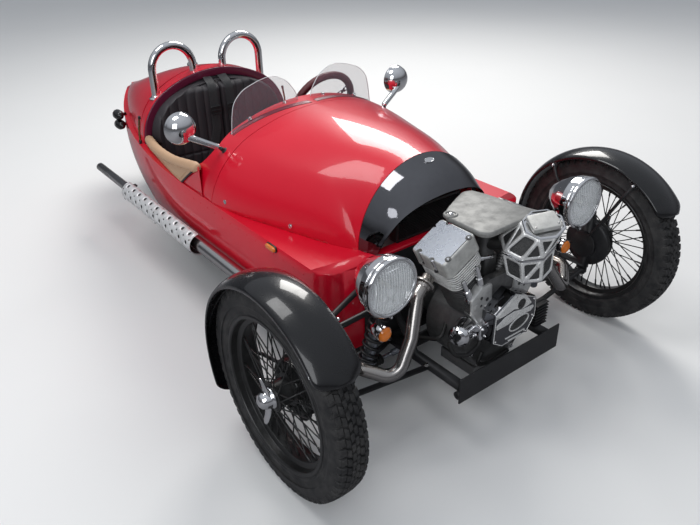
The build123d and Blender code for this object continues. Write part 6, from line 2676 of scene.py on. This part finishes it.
    def lower_parts(self) -> None:
        """Oil filter and pump on the right, finned regulator on the left, and the hoses."""
        low, high = np.array((-110.0, place(-112), 350)), np.array((-212.0, place(-160), 366))
        can = (
            (0, 0), (0, 31), (12, 32), (14, 36), (24, 36), (25, 34.5), (92, 34.5), (93, 36),
            (100, 35), (110, 27), (113.6, 16), (113.6, 0)
        )
        bright = lathe(fillet(can, 2, 3), low, high - low, 40)
        bright.add(
            soft_slab(
                round_rectangle(40, 60, 10) + (-104, 350), 28, 5, (0, self.front_y, 0), (0, -1, 0)
            )
        )
        spots = [(-112, self.front_y - 27, 366), (-96, self.front_y - 27, 332)]
        bright.stamp(dome_nut(6, 8), spots, basis((0, -1, 0)))
        make("oil_pump", bright, CHROME, hides=("oil_filter",))
        dress("regulator", SATIN, bevel=0.6)
        hoses = Shape()
        runs = (
            (
                (-236, place(-148), 352), (-226, place(-164), 306), (-168, place(-172), 284),
                (-108, place(-166), 296), (-96, place(-160), 330)
            ),
            (
                (-96, place(-170), 262), (-120, place(-170), 218), (-40, place(-160), 186),
                (60, place(-156), 190)
            ),
            (
                (118, place(-148), 330), (136, place(-154), 300), (150, place(-120), 250),
                (120, place(-90), 215)
            ),
            (
                (-140, place(-40), 330), (-190, place(-70), 300), (-196, place(20), 262),
                (-180, place(120), 250)
            ),
        )
        for run in runs:
            hoses.add(tube(fillet(run, 40, 8), 7.0, 14))
        make("oil_hoses", hoses, HOSE)

    def cooler(self) -> None:
        """Front plate, finned cooler, and the dark panel between engine and tub."""
        dress("front_plate", SATIN, bevel=0.8)
        curtain = soft_slab(round_rectangle(660, 330, 30), 3, 1, (0, place(166), 372), (0, -1, 0))
        make("engine_curtain", curtain, SATIN)
        shape = Shape()
        fin = soft_slab(
            round_rectangle(292, 1.6, 0.5, 1), 34, 0.4, (0, 0, 0), (0, 0, 1), hint=(0, 1, 0)
        )
        heights = np.arange(552, 652, 6.5)
        axes = np.stack((np.array((1.0, 0, 0)), np.array((0, 0, 1.0)), np.array((0, -1.0, 0))))
        shape.stamp(fin, [(0, place(240), z) for z in heights], axes[None])
        for x in (-149, 149):
            shape.add(
                soft_slab(round_rectangle(10, 118, 4), 38, 1.5, (x, place(242), 600), (0, -1, 0))
            )
        for z in (655, 546):
            shape.add(
                soft_slab(round_rectangle(298, 10, 3), 38, 1.5, (0, place(242), z), (0, -1, 0))
            )
        make("cooler_core", shape, SATIN, hides=("oil_cooler",))


@dataclass
class Exhausts:
    """Headers, sleeves, pipes and perforated heat shields, made on the left and mirrored."""

    x: float = 512.0
    z: float = 316.0
    end: float = 2214.0
    shield: tuple[float, float] = (1049.0, 1787.0)
    middle: float = 1418.0
    radius: float = 49.0
    hole: float = 9.0
    hole_pitch: float = 66.0

    def build(self) -> None:
        """Both sides."""
        self.headers()
        self.pipes()
        self.shields()

    def headers(self) -> None:
        """Header pipe from the head's port round the wheel's front to the sleeve."""
        points = (
            (225, place(-30), 540), (290, place(-50), 505), (345, place(-88), 385),
            (420, place(-108), 272),
            (self.x, place(-30), self.z), (self.x, place(200), self.z),
        )
        path = fillet(points, (30, 60, 55, 40), 10)
        shape = tube(path, 22.5, 32)
        run = path[1] - path[0]
        flange = ((0, 0), (0, 38), (8, 38), (10, 34), (10, 26), (20, 25), (20, 0))
        shape.add(lathe(fillet(flange, 1.5, 2), path[0] + unit(run) * 26, run, 32))
        make("headers", shape.both(), PIPE, hides=("exhausts",))

    def pipes(self) -> None:
        """Straight pipe: sleeve, clamp rings, main run, reducer and hollow tail pipe."""
        rows = (
            (60, 23), (60, 24.8), (186, 24.8), (190, 26), (212, 28.5), (1825, 28.5), (1872, 21),
            (self.end - 1.5, 21), (self.end, 20), (self.end, 18.8),
            (self.end - 140, 18.5), (self.end - 140, 0),
        )
        shape = lathe(((60, 0),) + rows, (self.x, place(0), self.z), (0, 1, 0), 48)
        for at in (64, 150, 216):
            band = ((at, 26), (at, 31), (at + 2, 32), (at + 14, 32), (at + 16, 31), (at + 16, 26))
            shape.add(lathe(band, (self.x, place(0), self.z), (0, 1, 0), 48, closed=True))
            shape.add(
                rod(
                    (self.x - 36, place(at + 8), self.z + 14),
                    (self.x - 36, place(at + 8), self.z - 16), 4
                )
            )
        make("exhaust_pipes", shape.both(), STEEL)
        hangers = Shape()
        for at in (700, 1840):
            hangers.add(
                soft_slab(
                    round_rectangle(56, 30, 6), 6, 1, (self.x - 22, place(at), self.z - 3),
                    (0, 0, 1)
                )
            )
        make("exhaust_hangers", hangers.both(), SATIN)

    def shields(self) -> None:
        """Half round shield with rows of holes.

        The half tube is laid out flat in cells, each a ring of quads between its square border
        and a round hole; the flat place across becomes the angle round the pipe.
        """
        steps = 24
        angle = (np.arange(steps) + 0.5) * 2 * math.pi / steps
        hole = np.stack((np.cos(angle), np.sin(angle)), 1)
        square = hole / np.abs(hole).max(1, keepdims=True)
        cell = np.array((self.hole_pitch / 2, self.radius * math.radians(25)))
        first = self.middle - 5 * self.hole_pitch
        shape = Shape()
        for column in range(11):
            for lean in (-38, 12, 62):
                spot = np.array(
                    (first + column * self.hole_pitch, self.radius * math.radians(lean))
                )
                outer, inner = spot + square * cell, spot + hole * self.hole
                self.lay(shape, np.stack((outer, (outer + inner) / 2, inner)), wrap=True)
        near, far = first - cell[0], first + 10 * self.hole_pitch + cell[0]
        for turns in (np.linspace(-89, -63, 7), np.linspace(87, 89, 2)):
            strip = np.stack(
                [
                    np.stack((np.full(len(turns), y), self.radius * np.radians(turns)), -1)
                    for y in np.linspace(near, far, 12)
                ]
            )
            self.lay(shape, strip)
        for low, high in ((self.shield[0], near), (far, self.shield[1])):
            turns = self.radius * np.radians(np.linspace(-89, 89, 40))
            self.lay(shape, np.stack([np.stack((np.full(40, y), turns), -1) for y in (low, high)]))
        make("shield_sheets", shape.both(), SHEET, hides=("heat_shields",), wall=2.0, crease=50)
        clips, hole_shade = Shape(), Shape()
        for at in (self.shield[0] + 14, self.middle, self.shield[1] - 14):
            for turn in (-0.55, 0.6):
                out = np.array((math.cos(turn), 0.0, math.sin(turn)))
                spot = np.array((self.x, place(at), self.z)) + out * (self.radius + 0.6)
                clips.stamp(dome_nut(4.5, 3), [spot], basis(out)[None])
        make("shield_clips", clips.both(), STEEL)
        # A dark half shell inside the shield, behind its holes: painted shade that keeps the holes
        # dark.
        turns = np.linspace(-1.5, 1.5, 30)
        rows = [
            np.stack(
                (self.x + 45 * np.cos(turns), np.full(30, place(at)), self.z + 45 * np.sin(turns)),
                -1
            )
            for at in (self.shield[0] + 6, self.shield[1] - 6)
        ]
        hole_shade.surface(np.stack(rows), away=(self.x, place(self.middle), self.z))
        make("shield_hole_shade", hole_shade.both(), SATIN, wall=1.2)

    def lay(self, shape: Shape, flat: np.ndarray, wrap: bool = False) -> None:
        """Adds flat places (station, length across) wrapped round the pipe's outer side.

        Args:
            shape: the shape that takes the surface.
            flat: grid of places.
            wrap: True where the last column joins the first.
        """
        turn = flat[..., 1] / self.radius
        grid = np.stack(
            (
                self.x + self.radius * np.cos(turn), place(0) + flat[..., 0],
                self.z + self.radius * np.sin(turn)
            ),
            -1
        )
        shape.surface(grid, wrap=wrap, away=(self.x, float(grid[..., 1].mean()), self.z))


@dataclass
class Lamps:
    """Headlamps, indicators, side markers and tail lights."""

    centre: Point = (454.0, FRONT_AXLE_Y - 116.0, 630.0)
    radius: float = 97.0

    def build(self) -> None:
        """Every lamp on both sides."""
        self.headlamps()
        self.indicators()
        self.markers()
        self.tail()

    def headlamps(self) -> None:
        """Bullet bowl with a seam, a rolled rim, a domed fluted lens and a reflector."""
        r = self.radius
        bowl = (
            (9, r - 14), (9, r - 5), (14, r - 2.5), (15.5, r - 4.5), (17, r - 3.0), (40, r - 6),
            (72, r - 20), (100, r - 38),
            (126, r - 60), (142, r - 80), (150, 0),
        )
        shell = lathe(smooth_bowl(bowl), self.centre, (0, 1, 0), 72)
        rim = (
            (10, r - 8), (10, r - 1), (4, r), (-2, r - 0.5), (-6, r - 4), (-7, r - 8), (-5, r - 11),
            (4, r - 12)
        )
        shell.add(lathe(fillet(rim, 2, 3, closed=True), self.centre, (0, 1, 0), 72, closed=True))
        cx, cy, cz = self.centre
        shell.add(rod((cx, cy + 2, cz - r - 1), (cx, cy + 2, cz - r - 9), 5, 1))
        stem = ((-14, 0), (-14, 15), (0, 20), (8, 17), (20, 12), (20, 0))
        shell.add(lathe(fillet(stem, 3, 3), (cx, cy + 76, cz - r + 26), (0, 0, -1), 28))
        make("lamp_bowls", shell.both(), CHROME, hides=("headlamps",))
        reflector = ((56, 0), (54, 16), (36, 46), (14, r - 22), (2, r - 12.5))
        make("lamp_reflectors", lathe(reflector, self.centre, (0, 1, 0), 56).both(), MIRROR)
        lens = (
            (-17, 0), (-16, 24), (-13, 50), (-7.5, 70), (-1, r - 11.5), (1.5, r - 11.5), (-4.5, 69),
            (-10, 49), (-13, 24), (-14, 0)
        )
        make(
            "lamp_glasses", lathe(lens, self.centre, (0, 1, 0), 72).both(), LENS,
            hides=("headlamp_lenses",)
        )
        flutes = Shape()
        for x in np.linspace(-66, 66, 15):
            reach = math.sqrt(78**2 - x**2)
            z = np.linspace(-reach, reach, 24)
            depth = -13.4 + 12.0 * (x**2 + z**2) / (r - 12) ** 2 * 0.98
            line = np.stack((np.full(24, cx + x), cy + depth, cz + z), -1)
            flutes.add(tube(line, 1.4, 6))
        make("lens_flutes", flutes.both(), CLEAR_EDGE)
        bulb = lathe(
            ((50, 9), (38, 9), (34, 6.5), (14, 6.5), (8, 4), (6, 0)), self.centre, (0, 1, 0), 20
        )
        make("lamp_bulbs", bulb.both(), WHITE)

    def indicators(self) -> None:
        """Small bullets with a domed amber lens."""
        centre = (443.0, place(-73), 438.0)
        body = (
            (0, 0), (0, 24), (-1, 26), (3, 27), (20, 27), (24, 25.5), (40, 21), (54, 12), (62, 5),
            (66, 0)
        )
        make(
            "indicator_bodies", lathe(body, centre, (0, 1, 0), 40).both(), CHROME,
            hides=("indicators",)
        )
        lens = ((0, 0), (0, 24.5), (-3, 24), (-8, 20.5), (-12, 13), (-14, 0))
        make(
            "indicator_domes", lathe(fillet(lens, 2, 3), centre, (0, 1, 0), 40).both(), AMBER,
            hides=("indicator_lenses",)
        )

    def markers(self) -> None:
        """Amber side markers in black frames on the tub."""
        lens = slab(
            round_rectangle(58, 19, 9), ((0, 0), (9, 0), (12, 1.5), (13.2, 5)),
            (490.5, place(484), 528), (1, 0, 0)
        )
        make("marker_lenses", lens.both(), AMBER, hides=("side_markers",))
        base = slab(
            round_rectangle(64, 25, 11), ((0, 0), (4.5, 0), (5.5, 1.2)), (489.5, place(484), 528),
            (1, 0, 0)
        )
        make("marker_frames", base.both(), SATIN)

    def tail(self) -> None:
        """Paired bullet tail lights on stems, with red lenses behind."""
        dress("tail_lights", BLACK)
        lens = Shape()
        for z in (545, 491):
            dome = ((0, 0), (0, 25), (3, 25.4), (6, 23), (9, 15), (10.5, 0))
            lens.add(lathe(fillet(dome, 1.5, 2), (self.light_x(), place(2320), z), (0, 1, 0), 36))
        make("tail_lenses", lens.both(), RED_LENS)

    def light_x(self) -> float:
        """Distance of the tail lights from the middle, read from their node."""
        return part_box("tail_lights")[1].x / MM - 27.0


def smooth_bowl(rows: Rows) -> np.ndarray:
    """Profile whose corners are softened twice."""
    return fillet(rows, 8, 4)


@dataclass
class RearEnd:
    """Rear wheel, swing arm and dampers."""

    centre: Point = REAR_WHEEL

    def build(self) -> None:
        """Builds the rear end."""
        dress("swing_arm", SATIN)
        self.wheel()
        self.dampers()

    def wheel(self) -> None:
        """The cast wheel in its black coat, and bright caps on its spindle."""
        dress("wheel_rear", WHEEL_BLACK)
        cap = lathe(
            ((0, 0), (0, 22), (4, 20), (6, 0)), (86, self.centre[1], self.centre[2]), (1, 0, 0), 30
        )
        make("rear_caps", cap.both(), STEEL, Body.REAR)

    def dampers(self) -> None:
        """Rear dampers with coil springs."""
        foot = np.array((128.0, place(2250), 320.0))
        top = np.array((128.0, place(2094), 424.0))
        side, up, run = basis(top - foot)
        length = float(np.linalg.norm(top - foot))
        body = (
            (0, 0), (0, 10), (30, 12), (34, 26), (38, 26), (40, 16), (length * 0.6, 16),
            (length * 0.61, 8), (length - 32, 8), (length - 30, 26), (length - 25, 26),
            (length - 22, 12), (length - 4, 10), (length, 0)
        )
        make(
            "rear_damper_bodies", lathe(body, foot, top - foot, 28).both(), SATIN_ALLOY,
            hides=("rear_dampers",)
        )
        t = np.linspace(0, 12 * math.pi, 150)
        rise = 40 + (length - 70) * np.clip((t - 2) / (12 * math.pi - 4), 0, 1)
        line = foot + rise[:, None] * run + 21 * (
            np.cos(t)[:, None] * side + np.sin(t)[:, None] * up
        )
        make("rear_springs", tube(line, 3.6, 10, up=run).both(), SATIN)


@dataclass
class StudioSet:
    """Floor, lamps, world and the camera at the photograph's angle."""

    eye: Point = (-1.5644, -2.6484, 1.6671)
    aim: Point = (-0.1024, -0.7283, 0.300)
    roll: float = -0.021
    lens: float = 35.25
    background: Point = (0.82, 0.82, 0.82)
    strength: float = 0.8

    def build(self) -> None:
        """Sets the stage."""
        scene = bpy.context.scene
        scene.view_settings.view_transform = "Standard"
        self.floor()
        self.lamps()
        self.world()
        self.camera()

    def floor(self) -> None:
        """Wide plane with a curved rise far behind, as one swept profile."""
        line = fillet(((-30, -30, 0), (-30, 24, 0), (-30, 30, 14)), 6, 12)
        rows = np.stack((line, line + (60, 0, 0)))
        shape = Shape().surface(rows / MM, away=(0, 0, -1e6))
        mesh = bpy.data.meshes.new("studio_floor")
        mesh.from_pydata((np.concatenate(shape.points) * MM).tolist(), [], shape.faces[0])
        mesh.materials.append(FLOOR.material())
        linked("studio_floor", mesh)

    def lamps(self) -> None:
        """Soft boxes: a key high on the car's right rear, a fill in front, a strip above."""
        rows = (
            ("key", (3.2, 2.6, 4.6), 2.6, 230.0, (1.0, 0.98, 0.95)),
            ("fill", (-4.2, -3.6, 3.2), 3.0, 90.0, (0.95, 0.97, 1.0)),
            ("strip", (-1.2, 0.2, 4.4), 1.8, 60.0, (1.0, 1.0, 1.0)),
        )
        for name, at, size, power, color in rows:
            lamp = bpy.data.lights.new(name, "AREA")
            lamp.shape = "SQUARE"
            lamp.size = size
            lamp.energy = power
            lamp.color = color
            made = linked(name, lamp)
            axes = basis(np.array(at) - np.array((0.0, 0.0, 0.4)))
            made.matrix_world = matrix(axes, at)

    def world(self) -> None:
        """Soft surroundings: pale above, darker low down, and pale where the camera looks."""
        world = bpy.data.worlds.new("surroundings")
        world.use_nodes = True
        bpy.context.scene.world = world
        tree = world.node_tree
        back = tree.nodes["Background"]
        coord = tree.nodes.new("ShaderNodeTexCoord")
        split = tree.nodes.new("ShaderNodeSeparateXYZ")
        tree.links.new(coord.outputs["Object"], split.inputs[0])
        ramp = tree.nodes.new("ShaderNodeValToRGB")
        stops = (
            (0.0, (0.2, 0.2, 0.2)), (0.48, (0.2, 0.2, 0.21)), (0.54, (0.1, 0.1, 0.11)),
            (0.66, (0.4, 0.42, 0.46)), (1.0, (0.66, 0.7, 0.76))
        )
        for at, color in stops[2:]:
            ramp.color_ramp.elements.new(at)
        for element, (at, color) in zip(ramp.color_ramp.elements, stops):
            element.position = at
            element.color = (*color, 1.0)
        height = Sock(tree, split.outputs["Z"]) * 0.5 + 0.5
        tree.links.new(height.link, ramp.inputs[0])
        rays = tree.nodes.new("ShaderNodeLightPath")
        mix = tree.nodes.new("ShaderNodeMix")
        mix.data_type = "RGBA"
        tree.links.new(rays.outputs["Is Camera Ray"], mix.inputs[0])
        tree.links.new(ramp.outputs[0], mix.inputs[6])
        mix.inputs[7].default_value = (*self.background, 1.0)
        tree.links.new(mix.outputs[2], back.inputs[0])
        back.inputs[1].default_value = self.strength

    def camera(self) -> None:
        """Camera where the photograph was taken from, level but for a small roll."""
        data = bpy.data.cameras.new("photo_camera")
        data.sensor_width = 36.0
        data.lens = self.lens
        data.clip_start, data.clip_end = 0.05, 200.0
        eye, aim = np.array(self.eye), np.array(self.aim)
        back = unit(eye - aim)
        right = unit(np.cross((0, 0, 1), back))
        up = np.cross(back, right)
        c, s = math.cos(self.roll), math.sin(self.roll)
        axes = np.stack((c * right + s * up, -s * right + c * up, back))
        camera = linked("photo_camera", data)
        camera.matrix_world = matrix(axes, eye)
        bpy.context.scene.camera = camera


def matrix(axes: np.ndarray, at: Point) -> Matrix:
    """World matrix with the given rows for axes and a place.

    Args:
        axes: rows are the three axes.
        at: the place.

    Returns:
        The matrix.
    """
    made = np.eye(4)
    made[:3, :3] = np.asarray(axes).T
    made[:3, 3] = at
    return Matrix(made.tolist())


def main() -> None:
    """Builds the car and its studio."""
    logging.basicConfig(level=logging.INFO, format="%(name)s %(message)s")
    BodyShell().build()
    Cockpit().build()
    FrontAxle().build()
    WireWheel().build()
    front = dict(
        radius=FRONT_WHEEL[2], half=55.0, bead=244.0, rim_half=49.0, steps=66, rows=FRONT_TREAD
    )
    across, along, height = FRONT_WHEEL
    for side, body, x in (("left", Body.FRONT_LEFT, across), ("right", Body.FRONT_RIGHT, -across)):
        node = f"tyre_front_{side}"
        Tyre(f"{node}_rubber", node, body, (x, along, height), **front).build()
    rear = dict(
        radius=REAR_WHEEL[2], half=92.5, bead=197.0, rim_half=80.0, steps=54, rows=REAR_TREAD
    )
    Tyre("tyre_rear_rubber", "tyre_rear", Body.REAR, REAR_WHEEL, **rear).build()
    Mudguards().build()
    Engine().build()
    Exhausts().build()
    Lamps().build()
    RearEnd().build()
    StudioSet().build()


if __name__ == "__main__":
    main()
